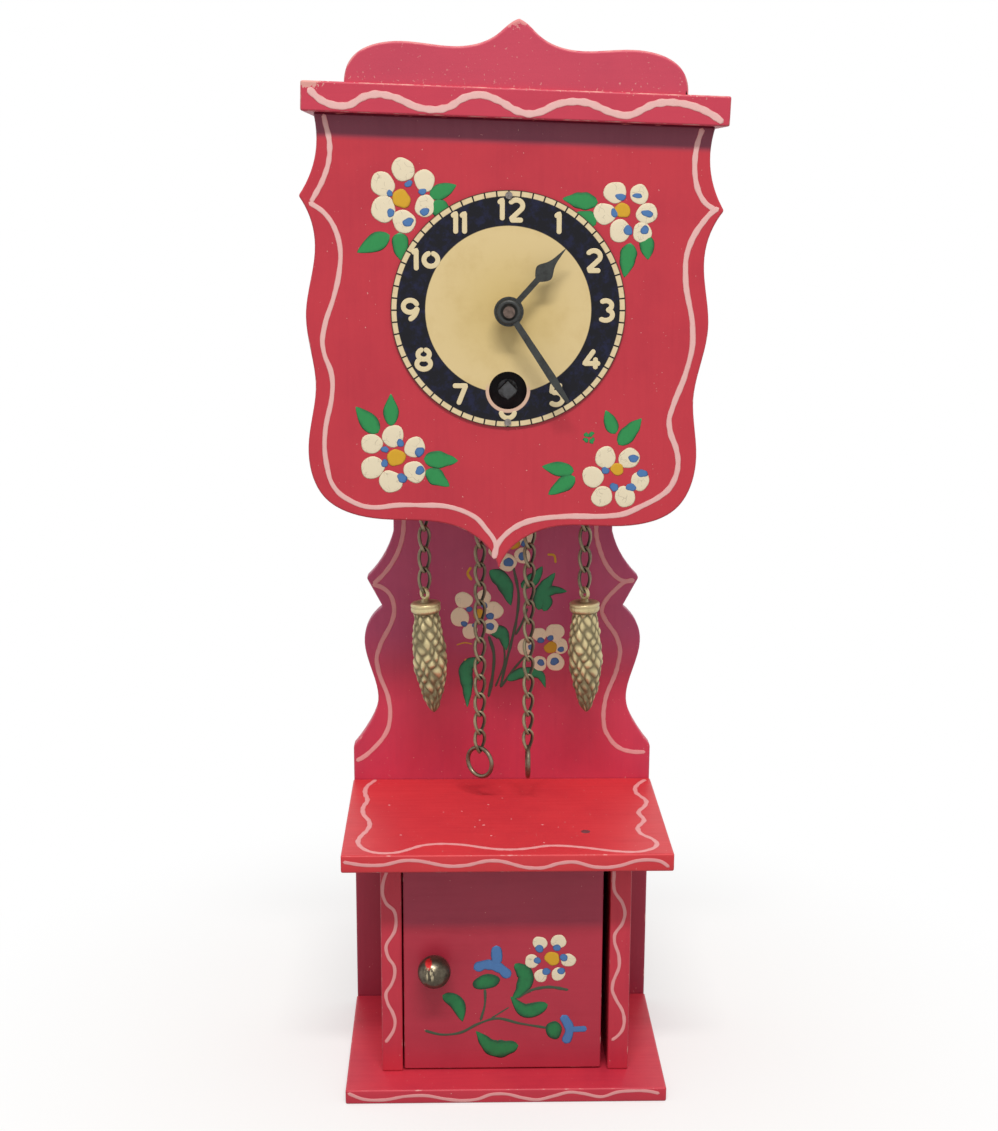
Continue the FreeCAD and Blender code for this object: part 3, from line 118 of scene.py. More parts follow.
def place(tree, kind, sockets=None, **settings):
    """Adds one shader node."""
    made = tree.nodes.new("ShaderNode" + kind)
    for name, value in settings.items():
        setattr(made, name, value)
    return feed(made, sockets or {})


def surface_group(**inputs):
    """Makes a function into a shader node group with named sockets. The function takes the inputs in order
    and gives a surface's colour, roughness and height."""
    def grouped(build):
        group = bpy.data.node_groups.new(build.__name__, "ShaderNodeTree")
        for way, sockets in (("INPUT", inputs), ("OUTPUT", SURFACE)):
            for label, kind in sockets.items():
                group.interface.new_socket(label, in_out=way, socket_type="NodeSocket" + kind)
        given = group.nodes.new("NodeGroupInput")
        made = build(*[Value(given, label) for label in inputs])
        feed(group.nodes.new("NodeGroupOutput"), dict(zip(SURFACE, made)))
        return group
    return grouped


def surface(group, **values):
    """A surface made by a group. A value is plain, or a function that works it out from the coordinates."""
    def build(coords):
        sockets = {name: value(coords) if callable(value) else value for name, value in values.items()}
        made = place(coords.tree, "Group", {"Vector": coords, **sockets}, node_tree=group)
        return [Value(made, label) for label in SURFACE]
    return build


def marked(attribute):
    """The value that a piece carries in an attribute of its own."""
    return lambda coords: Value(place(coords.tree, "Attribute", attribute_name=attribute), "Fac")


def finished(name, build, bump=0.3, relief=0.1 * MM, **shader_values):
    """A material on one Principled shader. build(coords) gives its colour, roughness and height."""
    material = bpy.data.materials.new(name)
    material.use_nodes = True
    tree = material.node_tree
    colour, roughness, height = build(Value(place(tree, "TexCoord"), "Object"))
    bumped = Value(place(tree, "Bump", {"Strength": bump, "Distance": relief, "Height": height}))
    plain = {socket.replace("_", " "): value for socket, value in shader_values.items()}
    feed(tree.nodes["Principled BSDF"],
         {"Base Color": colour, "Roughness": roughness, "Normal": bumped, **plain})
    return material


@surface_group(Vector="Vector", Grain="Vector", Paint="Color", Deep="Color", Worn="Color", Edge="Float",
               Wear="Float", Chips="Float")
def painted_wood(spot, grain, paint, deep, worn, edge, wear, chips):
    """Brushed paint on wood: broad patches of deeper colour, streaks along the grain, chips, and bare wood on
    the arrises."""
    patches = spot.noise(55, 5, 0.6).eased(0.35, 0.72)
    streaks = spot.worked("MULTIPLY", grain, kind="VectorMath").noise(900, 4, 0.6)
    rubbed = (edge * wear + spot.noise(260, 4, 0.65)).eased(1.0, 1.12)
    bare = rubbed.worked("MAXIMUM", (spot.noise(1700, 2) + chips).eased(0.80, 0.84))
    shade = streaks.eased(0.4, 0.75) * 0.16 + patches * 0.5
    height = bare * -0.8 + (streaks * 0.45 + spot.noise(2600, 2) * 0.25)
    return bare.mixed(shade.mixed(paint, deep), worn), bare * 0.25 + (streaks * 0.22 + 0.33), height


def red_paint(name, grain, wear=0.48, chips=0.06, paint=RED, deep=DEEP_RED, worn=WORN):
    """Red paint on a board whose grain runs along the axis where grain is small."""
    paints = surface(painted_wood, Grain=grain, Paint=paint, Deep=deep, Worn=worn, Edge=marked("worn_edge"),
                     Wear=wear, Chips=chips)
    return finished(name, paints, bump=0.35, relief=0.12 * MM, Specular_IOR_Level=0.45)


def new_piece(name, points, faces, material, body, slot, node=None, marks=None, smooth=True):
    """Puts arrays into a mesh, turns its faces outwards, and sets it on a body, in a node's place if one is
    named. Marks are an attribute's name and its value at each point."""
    mesh = bpy.data.meshes.new(name)
    mesh.from_pydata(np.asarray(points).tolist(), [], [list(map(int, face)) for face in faces])
    if marks:
        mesh.attributes.new(marks[0], "FLOAT", "POINT").data.foreach_set("value", marks[1].astype(np.float32))
    shaped = bmesh.new()
    shaped.from_mesh(mesh)
    bmesh.ops.recalc_face_normals(shaped, faces=shaped.faces)
    shaped.to_mesh(mesh)
    shaped.free()
    mesh.polygons.foreach_set("use_smooth", np.broadcast_to(smooth, len(mesh.polygons)).astype(bool))
    mesh.materials.append(material)
    piece = bpy.data.objects.new(name, mesh)
    bpy.context.scene.collection.objects.link(piece)
    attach(piece, body)
    if node:
        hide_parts(node)


def face_loops(node, axis, side):
    """Outlines of a board's flat face, the outer one first: edges of one triangle alone, head to tail."""
    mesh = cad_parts[node].data
    points = np.empty(3 * len(mesh.vertices), np.float32)
    mesh.vertices.foreach_get("co", points)
    corners = np.empty(len(mesh.loops), np.int32)
    mesh.loops.foreach_get("vertex_index", corners)
    whole = np.round(points.reshape(-1, 3) * 1e6).astype(np.int64)
    spots, index = np.unique(whole, axis=0, return_inverse=True)
    triangles = index.reshape(-1)[corners].reshape(-1, 3)
    level = side * (side * spots[:, axis]).max()
    flat = triangles[(np.abs(spots[triangles, axis] - level) < 3).all(1)]
    heads, tails = flat.ravel(), np.roll(flat, -1, 1).ravel()
    lone = ~np.isin(heads * len(spots) + tails, tails * len(spots) + heads)
    onward = dict(zip(heads[lone].tolist(), tails[lone].tolist()))
    loops = []
    while onward:
        chain = [next(iter(onward))]
        while chain[-1] in onward:
            chain.append(onward.pop(chain[-1]))
        loops.append(np.delete(spots[chain[:-1]], axis, 1) * 1e-6)

    def area(loop):
        ahead = np.roll(loop, -1, 0)
        return (loop[:, 0] * ahead[:, 1] - loop[:, 1] * ahead[:, 0]).sum() / 2

    loops.sort(key=lambda loop: -abs(area(loop)))
    return [loop if area(loop) > 0 else loop[::-1] for loop in loops]


def broken_corners(loop, radius):
    """Each sharp corner becomes a small arc, a parabola between points a radius either side of it."""
    back, ahead = np.roll(loop, 1, 0) - loop, np.roll(loop, -1, 0) - loop
    reach_back, reach_on = np.linalg.norm(back, axis=1), np.linalg.norm(ahead, axis=1)
    bend = -(back * ahead).sum(1) / (reach_back * reach_on)
    sharp = bend < math.cos(SHARP_CORNER)
    reach = np.where(sharp, np.minimum(radius, 0.4 * np.minimum(reach_back, reach_on)), 0)
    first = loop + back * (reach / reach_back)[:, None]
    last = loop + ahead * (reach / reach_on)[:, None]
    t = np.linspace(0, 1, ARRIS_STEPS)[None, :, None]
    arcs = (1 - t) ** 2 * first[:, None] + 2 * t * (1 - t) * loop[:, None] + t ** 2 * last[:, None]
    arcs = arcs.reshape(-1, 2)
    return arcs[np.linalg.norm(arcs - np.roll(arcs, 1, 0), axis=1) > 2e-6]


def inset(loop, distance):
    """Moves an anticlockwise outline inwards, each point along the middle of its two edges' normals."""
    on = np.roll(loop, -1, 0) - loop
    on /= np.linalg.norm(on, axis=1)[:, None]
    normal = np.stack([-on[:, 1], on[:, 0]], 1)
    before = np.roll(normal, 1, 0)
    lean = np.maximum(1 + (normal * before).sum(1), 0.5)
    return loop + distance * (normal + before) / lean[:, None]


def band(rows, around, closed=False):
    """Faces between rows of points, each row closed round. The last row may join the first."""
    row, col = np.meshgrid(np.arange(rows if closed else rows - 1), np.arange(around), indexing="ij")
    below, on = (row + 1) % rows, (col + 1) % around
    corners = [row * around + col, row * around + on, below * around + on, below * around + col]
    return np.stack(corners, -1).reshape(-1, 4)


def eased_board(name, node, axis, side, material, body="case", ease=EASE, holes=True, keep_back=None,
                sunk=None):
    """A board with rounded arrises: the outline of its face on one side of an axis, carried through the board
    and drawn in at both faces on a quarter circle. The flat faces are filled, holes included, and the arris
    marks where paint wears. The outline may be kept back on one axis, or its far edge sunk by a step."""
    outer, *inner = face_loops(node, axis, side)
    if keep_back:
        way, least = keep_back
        outer[:, way] = np.maximum(outer[:, way], least)
    if sunk is not None:
        reach = outer @ sunk
        outer[reach > reach.max() - ease * np.linalg.norm(sunk)] += sunk
    outer = broken_corners(outer, 1.2 * ease)
    low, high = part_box(node)
    front, rear = (high[axis], low[axis]) if side > 0 else (low[axis], high[axis])
    thick = abs(front - rear)
    turn = np.linspace(0, math.pi / 2, ARRIS_STEPS)
    draw, sink, wear = ease * (1 - np.sin(turn)), ease * (1 - np.cos(turn)), np.sin(2 * turn)
    rings, count = 2 * ARRIS_STEPS, len(outer)
    flat = [inset(outer, distance) for distance in (*draw, *draw[::-1])]
    level = [np.repeat([*sink, *(thick - sink[::-1])], count)]
    worn = [np.repeat([*wear, *wear[::-1]], count)]
    faces = band(rings, count).tolist()
    caps = [[np.arange(count)], [np.arange(count) + (rings - 1) * count]]
    start = rings * count
    for loop in inner if holes else []:
        size = len(loop)
        flat += [loop, loop]
        level.append(np.repeat([0, thick], size))
        worn.append(np.zeros(2 * size))
        faces += (start + band(2, size)).tolist()
        for cap in caps:
            cap.append(start + np.arange(size))
            start += size
    flat = np.concatenate(flat)
    smooth = [True] * len(faces)
    for cap in caps:
        order = np.concatenate(cap)
        filled = tessellate_polygon([[Vector((*flat[i] / MM, 0)) for i in loop] for loop in cap])
        faces += [[int(order[i]) for i in face] for face in filled]
        smooth += [False] * len(filled)
    points = np.insert(flat, axis, front + np.sign(rear - front) * np.concatenate(level), 1)
    marks = ("worn_edge", np.concatenate(worn))
    new_piece(name, points, faces, material, body, "red_paint", node, marks, smooth)


def full_turn(count):
    """Angles once round, in equal steps."""
    return np.arange(count) * 2 * math.pi / count


def smooth_path(points, count):
    """A smooth curve through the points in equal steps: cubic pieces, their slopes from the neighbours."""
    points = np.asarray(points, float)
    along = np.concatenate([[0], np.cumsum(np.linalg.norm(np.diff(points, axis=0), axis=1))])
    slope = np.gradient(points, along, axis=0)
    s = np.linspace(0, along[-1], count)
    i = np.clip(np.searchsorted(along, s, "right") - 1, 0, len(points) - 2)
    gap = (along[i + 1] - along[i])[:, None]
    t = (s[:, None] - along[i][:, None]) / gap
    curve = ((1 + 2 * t) * (1 - t) ** 2 * points[i] + t * (1 - t) ** 2 * gap * slope[i]
             + t * t * (3 - 2 * t) * points[i + 1] + t * t * (t - 1) * gap * slope[i + 1])
    return curve, s


def brush_lines(lines, lift, form="line", unevenness=0.10, seed=1, step=0.45, sides=12):
    """Strokes of a loaded brush: a low closed oval profile carried along each path. A line keeps its width
    and has round ends; a leaf swells from a blunt foot and runs out to a point. Lengths are millimetres."""
    rng = np.random.default_rng(seed)
    turn = full_turn(sides)
    across, up = np.cos(turn), np.sign(np.sin(turn)) * np.abs(np.sin(turn)) ** 0.4
    films = []
    for points, half in lines:
        length = np.linalg.norm(np.diff(np.asarray(points, float), axis=0), axis=1).sum()
        path, s = smooth_path(points, max(14, int(length / step)))
        if form == "line":
            end = np.clip(np.minimum(s, s[-1] - s) / half, 0, 1)
            width = half * np.sqrt(np.clip(1 - (1 - end) ** 2, 0.0004, 1))
        else:
            swell = np.sin(math.pi * (s / s[-1]) ** 0.72)
            width = half * np.clip(swell, 0.0001, 1) ** 0.8 + 0.02
        waves = zip(rng.uniform(0.5, 2.6, 3), rng.uniform(0, 6.28, 3))
        wave = sum(np.sin(s * often + phase) / k for k, (often, phase) in enumerate(waves, 1))
        width = width * (1 + unevenness * wave / 1.8)
        on = np.gradient(path, axis=0)
        on /= np.linalg.norm(on, axis=1)[:, None]
        side = np.stack([-on[:, 1], on[:, 0]], 1)
        flat = path[:, None] + side[:, None] * (width[:, None] * across)[..., None]
        rise = lift * np.minimum(1, width / (0.6 * half))[:, None] * np.where(up > 0, up, 0.3 * up)
        ends = np.arange(len(path) * sides).reshape(-1, sides)[[0, -1]].tolist()
        thin = np.broadcast_to(np.abs(across), rise.shape)
        film = np.concatenate([flat, rise[..., None]], -1).reshape(-1, 3)
        films.append((film, band(len(path), sides).tolist() + ends, thin.ravel()))
    return films


def paint_film(name, films, onto, material, slot="white_paint", body="case"):
    """Lays strokes and dabs on a board as one piece. onto(x, z, height) gives the place of each point."""
    faces, start = [], 0
    for film, film_faces, _ in films:
        faces += [[start + i for i in face] for face in film_faces]
        start += len(film)
    points, _, thin = zip(*films)
    flat = np.concatenate(points) * MM
    new_piece(name, onto(*flat.T), faces, material, body, slot, marks=("thin_paint", np.concatenate(thin)))


def on_front(level, middle=0.0, lean=0.0):
    """Places a film on a face that looks to the front, drawn about a height and turned by a board's lean."""
    c, s = math.cos(lean), math.sin(lean)
    return lambda x, z, height: np.stack([x * c + z * s, level - height, middle - x * s + z * c], 1)


@surface_group(Vector="Vector", Paint="Color", Thin="Color", Edge="Float", Cracks="Float", Cover="Float")
def brushed_film(spot, paint, thin, edge, cracks, cover):
    """Thick craft paint: brush marks, a little of the ground where the film is thin, and fine dark cracks."""
    lumps, marks = spot.noise(420, 4, 0.6), spot.stretched((1, 1, 0.25)).noise(1900, 3, 0.6)
    thinness = (edge ** 3 * 0.55 + lumps * 0.7 - cover).eased(0.1, 0.6)
    wander = spot.noise(300, 2, output=1).worked("MULTIPLY", (0.004, 0.004, 0.004), kind="VectorMath")
    bent = spot.worked("ADD", wander, kind="VectorMath")
    cells = Value(place(spot.tree, "TexVoronoi", {"Vector": bent, "Scale": 480}, feature="DISTANCE_TO_EDGE"))
    crack = cells.eased(0.012, 0.035, 1.0, 0.0) * lumps.eased(0.46, 0.56) * cracks
    film = thinness.mixed((marks * 0.22).mixed(paint, thin), thin)
    return crack.mixed(film, CRACK_BROWN), marks * 0.25 + 0.36, marks + lumps - crack


def craft_paint(name, paint, thin, cracks=0.0, cover=0.45):
    """Brushed ornament paint. cover is how well the film hides the ground at its edges."""
    paints = surface(brushed_film, Paint=paint, Thin=thin, Edge=marked("thin_paint"), Cracks=cracks,
                     Cover=cover)
    return finished(name, paints, bump=0.35, relief=0.06 * MM, Specular_IOR_Level=0.45)


pink_line_paint = craft_paint("pink_line_paint", (0.80, 0.37, 0.37), (0.70, 0.17, 0.19), cover=0.34)
boards_along_x = red_paint("red_paint_along_x", ALONG_X)
eased_board("base_board_painted", "base_board", Z, 1, boards_along_x, holes=False, keep_back=(Y, BASE_FRONT))
BASE_WAVE = [(-38, 3), (-34.4, 1.4), (-29.5, 1.1), (-24, 2), (-19, 2.1), (-14.6, 1.2), (-10.2, 0.75),
    (-6.9, 1.1), (-3.6, 2.3), (0.3, 2.3), (3.6, 1.4), (7.5, 0.8), (11.3, 1.7), (15.2, 2.7), (18.5, 2.3),
    (22.9, 1.4), (26.7, 2.6), (30.6, 2.9), (34.5, 2.7), (36.9, 2.1)]
paint_film("base_wave", brush_lines([(BASE_WAVE, BASE_WAVE_HALF)], LINE_LIFT, seed=11), on_front(BASE_FRONT),
           pink_line_paint)

# Cabinet sides
# Two upright boards carry the shelf and make the jambs of the cabinet. They are butted between base and
# shelf, glued to the back board, and a white wave runs down each front edge.
EDGE_FACE, JAMB_WAVE_HALF = -17.5 * MM, 0.43
boards_along_z = red_paint("red_paint_along_z", ALONG_Z)
for side in ("left", "right"):
    eased_board(f"cabinet_side_{side}_painted", f"cabinet_side_{side}", X, 1, boards_along_z, holes=False)
JAMB_WAVES = [[(-27.6, 58.8), (-28, 56.8), (-28.9, 54.4), (-29.4, 52.4), (-29.4, 49.8), (-28.5, 47.5),
    (-26.8, 45.8), (-26.3, 43.3), (-26.6, 40.8), (-28.8, 36.2), (-28.2, 33.6), (-26.9, 31.5), (-26.8, 29),
    (-27.6, 26.6), (-28.9, 24.3), (-28.5, 21.6), (-27.4, 19.3), (-26.8, 16.9), (-27.3, 14.3), (-27.9, 13.2),
    (-29.3, 11.2)], [(26.6, 58.8), (25.8, 56.8), (25.7, 54.4), (25.9, 50.5), (27.9, 47.2), (28.5, 44.8),
    (28, 42.3), (26.1, 38.9), (26.1, 37.6), (27.2, 33.9), (27.4, 31.3), (25.9, 26.3), (25.8, 24.9),
    (26.7, 22.4), (28.5, 18.9), (28.9, 16.3), (28.3, 13.8), (27.6, 12.8), (25.8, 11.3)]]
paint_film("jamb_waves", brush_lines([(wave, JAMB_WAVE_HALF) for wave in JAMB_WAVES], LINE_LIFT, seed=12),
           on_front(EDGE_FACE), pink_line_paint)

# Cabinet shelf
# A board laid on the cabinet sides closes the cabinet and carries the waist of the case. A painted line runs
# round three sides of its top, a wave runs along its front edge, and drops of white have fallen on the red.
SHELF_FRONT, SHELF_TOP = -28.88 * MM, 64.5 * MM
SHELF_WAVE_HALF, SHELF_LINE_HALF, DROP_LIFT = 0.44, 0.62, 0.05
# Painted light: the shelf's red is brighter and more orange than the other boards', for the warm light from
# above on its top.
shelf_paint = red_paint("red_paint_shelf", ALONG_X, paint=(0.66, 0.038, 0.048), deep=(0.52, 0.024, 0.038))
eased_board("cabinet_shelf_painted", "cabinet_shelf", Z, 1, shelf_paint, keep_back=(Y, SHELF_FRONT))
SHELF_WAVE = [(-38, 63), (-33.1, 62.2), (-29, 62.2), (-23.5, 63.3), (-22.1, 63.3), (-12.5, 61.8),
    (-9.7, 62), (-4.3, 63.1), (-2.9, 63.1), (5.2, 61.3), (8, 61.3), (12, 62.4), (14.8, 62.7), (20.3, 61.4),
    (23.1, 61.3), (25.9, 61.7), (29.9, 62.9), (32.7, 63.1), (35.5, 62.6), (37.4, 61.2)]
paint_film("shelf_wave", brush_lines([(SHELF_WAVE, SHELF_WAVE_HALF)], LINE_LIFT, seed=13),
           on_front(SHELF_FRONT), pink_line_paint)


def on_top(level):
    """Places a film on a face that looks up."""
    return lambda x, y, height: np.stack([x, y, level + height], 1)


def capped(rows, around):
    """Faces between rows of points, with both ends closed by fans to two points that come after the rows."""
    col = np.arange(around)
    on, last, pole = (col + 1) % around, (rows - 1) * around, np.full(around, rows * around)
    fans = [np.stack([pole, on, col], 1), np.stack([pole + 1, last + col, last + on], 1)]
    return band(rows, around).tolist() + np.concatenate(fans).tolist()


def lathe(radius, height, turns):
    """Rows of points round the upright axis, from a radius and a height for each row."""
    turn = full_turn(turns)
    across = radius * np.cos(turn)
    return np.stack([across, radius * np.sin(turn), np.broadcast_to(height, across.shape)], -1)


def dabs(spots, lift, base=0.0, unevenness=0.05, seed=1, turns=22):
    """Round dabs of a loaded brush: a flat closed dome. Its radius is r cos of the rise angle, waved a little
    round the rim, and its height is the sine drawn up to a flat top. A spot is x, z, radius, then ratio and
    turn."""
    rng = np.random.default_rng(seed)
    turn = full_turn(turns)
    rise, foot = np.radians([-50, 0, 22, 45, 68]), -0.03
    dome = np.where(rise > 0, base + lift * np.abs(np.sin(rise)) ** 0.6, np.where(rise < 0, foot, base * 0.5))
    films = []
    for x, z, radius, *oval in spots:
        ratio, tilt = (*oval, *(1.0, 0.0)[len(oval):])
        phase = rng.uniform(0, 6.28, 3)
        rim = 1 + unevenness * (np.sin(2 * turn + phase[0]) + 0.6 * np.sin(3 * turn + phase[1])
                                + 0.4 * np.sin(5 * turn + phase[2]))
        u, v, height = np.moveaxis(lathe(np.cos(rise)[:, None] * rim * radius, dome[:, None], turns), -1, 0)
        c, s = math.cos(math.radians(tilt)), math.sin(math.radians(tilt))
        wall = np.stack([x + u * c - v * ratio * s, z + u * s + v * ratio * c, height], -1)
        points = np.concatenate([wall.reshape(-1, 3), [[x, z, foot], [x, z, base + lift]]])
        thin = np.concatenate([np.repeat(np.cos(rise), turns), [0, 0]])
        films.append((points, capped(len(rise), turns), thin))
    return films


SHELF_LINE = [(-32.6, 22), (-33.5, 20), (-34.5, 17.6), (-35, 14.3), (-34.7, 10.6), (-34.1, 7.4),
    (-34.9, 1.5), (-34.6, -2.3), (-32.9, -7.6), (-32.7, -10.4), (-33.2, -13.2), (-34.6, -17.6),
    (-34.9, -20.7), (-34.2, -23.2), (-33.3, -24.8), (-31.1, -26.8), (-28.8, -27.4), (-26.5, -27.2),
    (-18.7, -22.4), (-15.2, -21.9), (-11.6, -22.3), (-2.4, -25.3), (-1.2, -25.5), (2.2, -25.5),
    (5.7, -24.7), (9.3, -23.5), (12.8, -23.5), (17.4, -24.5), (25.3, -27), (28.7, -27.5), (31, -27.2),
    (32.2, -26.6), (34.5, -24.5), (35.1, -22.6), (34.7, -20.4), (31.9, -15.9), (31.6, -12.9), (33.7, -7.5),
    (32.9, -2.4), (35.1, 2.6), (35.6, 4.8), (33.7, 12), (33.9, 15.1), (35.2, 18.2), (37.2, 21.2)]
paint_film("shelf_line", brush_lines([(SHELF_LINE, SHELF_LINE_HALF)], LINE_LIFT, unevenness=0.16, seed=14),
           on_top(SHELF_TOP), pink_line_paint)
SHELF_DROPS = [(-28.5, 3.5, 0.28), (-10.5, -1, 0.22), (-6.2, -7, 0.24), (-7.4, -11.3, 0.22),
    (-5.3, -10.2, 0.36), (-3.9, 3.5, 0.26), (-0.3, 8, 0.2), (8.9, -10.2, 0.3), (-3.6, -17, 0.26),
    (-25, -16.3, 0.3), (-15, -1.5, 0.18), (1.5, -6.3, 0.2), (12.6, -11.8, 0.16), (8.7, -21.5, 0.22)]
paint_film("shelf_drops", dabs(SHELF_DROPS, DROP_LIFT, unevenness=0.14, seed=16), on_top(SHELF_TOP),
           pink_line_paint)

# Back board
# One long fretsawn board runs from the floor to the top of the hood; its waist carries the hanging chains. A
# flower spray, white lines and yellow scrolls are painted on the waist. The red changes with the height on
# both faces, as painted shade: darker at the foot behind the cabinet, where the shelf's shadow falls, and
# darker and more purple on the upper waist, where the hood's shadow falls. The back has no ornament.
BACK_FACE, DIAL_HEIGHT = 22.5 * MM, 187.5 * MM
BACK_SHADE_STEPS = [(62 * MM, 65 * MM), (88 * MM, 106 * MM)]


def upright(coords, lean):
    """Coordinates turned back by a board's lean: how far aside, how far back, and how high."""
    sockets = {"Vector": coords, "Center": (0, 0, DIAL_HEIGHT), "Angle": -lean}
    return Value(place(coords.tree, "VectorRotate", sockets, rotation_type="Y_AXIS")).axes()


def painted_shade_by_height(steps, *colours, lean=0.0):
    """A colour that changes with height, for painted shade: a darker band where a board above casts its
    shadow. Between the two heights of a step, one colour passes into the next."""
    def colour(coords):
        up = upright(coords, lean)[Z]
        made = colours[0]
        for (low, high), above in zip(steps, colours[1:]):
            made = up.eased(low, high).mixed(made, above)
        return made
    return colour


# Painted shade: the red is darker at the foot in the shelf's shadow, and darker and more purple on the upper
# waist in the hood's shadow.
back_paint = red_paint(
    "red_paint_back", ALONG_Z,
    paint=painted_shade_by_height(BACK_SHADE_STEPS, (0.360, 0.033, 0.066), (0.62, 0.041, 0.088), (0.55, 0.078, 0.176)),
    deep=painted_shade_by_height(BACK_SHADE_STEPS, (0.28, 0.022, 0.053), (0.48, 0.027, 0.073), (0.43, 0.053, 0.144)))
eased_board("back_board_painted", "back_board", Y, 1, back_paint)
WAIST_LINES = [([(-24.8, 140), (-24.8, 136), (-24.9, 132.1), (-25.2, 128.9), (-26.6, 124.3), (-28.1, 121.6),
    (-31.2, 117.8), (-32.8, 116.4)], 0.6), ([(-33, 116.4), (-30.3, 115.4), (-29.1, 114.4), (-28.2, 113.1),
    (-27.7, 111.6), (-27.6, 108.5), (-28, 107), (-31.3, 100), (-32.1, 96.9), (-31.7, 93.7), (-29.2, 86.2),
    (-28.8, 83.1), (-29, 80), (-29.3, 78.5), (-30.7, 75.7), (-32.7, 73.3), (-36.1, 70.3), (-37.8, 69.4)],
    0.6), ([(23.4, 140), (23.4, 136), (23.4, 132), (23.5, 128.9), (24.2, 125.9), (26, 121.5), (28.6, 118.2),
    (30.4, 117.1), (33.4, 117.2)], 0.6), ([(33.4, 117.4), (31.4, 117), (27.9, 114.2), (26.1, 112),
    (25.4, 110.6), (25.2, 109), (25.8, 107.5), (29.2, 102.1), (30, 99.1), (29.4, 94.4), (26.4, 85.3),
    (26.1, 80.5), (26.7, 77.2), (27.5, 75.8), (28.4, 74.4), (30.8, 72.4), (33.7, 71.6), (37.2, 71.5)], 0.6)]
paint_film("waist_lines", brush_lines(WAIST_LINES, LINE_LIFT, seed=21), on_front(BACK_FACE), pink_line_paint)
petal_paint = craft_paint("petal_paint", (0.85, 0.76, 0.55), (0.79, 0.63, 0.42), cracks=0.30, cover=0.60)
# Painted light: a lighter copy of the petal paint brightens the waist's petals in the hood's shadow.
shade_lit_petal_paint = craft_paint("shade_lit_petal_paint", (0.98, 0.88, 0.62), (0.94, 0.80, 0.52), 0.15, 0.62)
leaf_paint = craft_paint("leaf_paint", (0.022, 0.285, 0.075), (0.006, 0.095, 0.030), cover=0.30)
dot_paint = craft_paint("blue_dot_paint", (0.075, 0.205, 0.47), (0.032, 0.08, 0.22), cover=0.36)
centre_paint = craft_paint("yellow_centre_paint", (0.72, 0.41, 0.020), (0.42, 0.16, 0.012), cover=0.50)
# Painted light: a lighter copy of the leaf paint brightens the waist's leaves in the hood's shadow.
shade_lit_leaf_paint = craft_paint("shade_lit_leaf_paint", (0.026, 0.30, 0.115), (0.005, 0.065, 0.028), cover=0.20)
stem_paint = craft_paint("stem_paint", (0.034, 0.092, 0.046), (0.12, 0.040, 0.036), cover=0.20)
PETAL_LIFT, DOT_LIFT, LEAF_LIFT, STEM_LIFT = 0.07, 0.035, 0.05, 0.03
WAIST_PETALS = [(-9.9, 112.2, 2.21), (-10.9, 107.7, 2.45), (-8.3, 104, 1.99), (-3, 105.2, 2.1),
    (-2.2, 109.5, 2.33), (-4.9, 112.8, 1.98), (9.3, 103.1, 1.87), (13.3, 103.7, 2.34), (5.8, 99.8, 2.11),
    (14.6, 100.1, 2.11), (13.5, 95.8, 2.35), (9.4, 95.4, 2), (1, 122, 2.43), (4.9, 123.7, 2.08),
    (5.6, 128.2, 2.08), (-1.6, 125.3, 2.08), (-0.5, 129.7, 2.08), (2.9, 131.5, 2.08)]
WAIST_DOTS = [(-8.5, 109.8, 0.76), (-9.8, 106, 0.82), (-7.1, 105.6, 0.7), (-3.2, 108, 0.99),
    (-3.2, 105.3, 1.05), (-4.7, 110.8, 0.87), (9.7, 101.6, 0.88), (12.2, 102.2, 0.82), (9.8, 95.7, 0.94),
    (13.3, 96, 1.12), (14.9, 99.2, 0.82), (7.1, 99.8, 0.7), (1.4, 122, 1.27), (4.9, 123.6, 1.1),
    (5.3, 126.8, 0.87), (0.4, 125.3, 0.81), (0.9, 128.5, 0.75), (3.1, 129.1, 0.81)]
WAIST_CENTRES = [(-6, 108.3, 1.52), (12.3, 99.7, 1.64), (2.7, 126.7, 1.5)]
WAIST_LEAVES = [([(-3.4, 119.9), (-0.2, 117.3), (2.1, 110.7)], 2.09), ([(4.6, 115.4), (8.5, 118.5),
    (10, 121)], 1.63), ([(9.1, 109.5), (10, 114.3), (13.2, 119.3)], 1.87), ([(8.9, 112.8), (12.1, 114.6),
    (16.3, 114.4)], 1.4), ([(10.4, 109.2), (11.2, 111.9), (9.4, 114.9)], 1.4), ([(-3.6, 104), (-0.4, 103.5),
    (1, 98.9)], 1.75), ([(-5.4, 96.8), (-8.9, 95), (-9, 88.9), (-9, 83.8)], 1.76), ([(1.1, 91), (5.2, 93),
    (9.5, 92.5), (11.1, 88.9)], 1.53)]
WAIST_STEMS = [([(2.6, 120.9), (4, 113.1), (3.5, 107.1), (2.2, 101), (0.6, 94.4), (-0.5, 89)], 0.38),
    ([(6.3, 110.1), (4.8, 105.9), (3.2, 102.9)], 0.32), ([(-3.6, 102.9), (-2.3, 98.6), (-2.5, 92.5),
    (-3.6, 86.4)], 0.44), ([(5.8, 97.5), (2.9, 94), (-0.5, 89)], 0.32), ([(0, 102.3), (0.5, 96.2),
    (-1.8, 89.2)], 0.26)]
WAIST_SCROLLS = [([(-8, 120.8), (-8.9, 119.2), (-7.8, 117.3)], 0.35), ([(11.1, 124), (12.8, 123.8),
    (13.3, 121.7)], 0.3), ([(-11.8, 100.4), (-9.5, 101), (-7.7, 100.6)], 0.18), ([(-9.3, 96.8),
    (-9.6, 95.9), (-9, 95.3)], 0.18)]


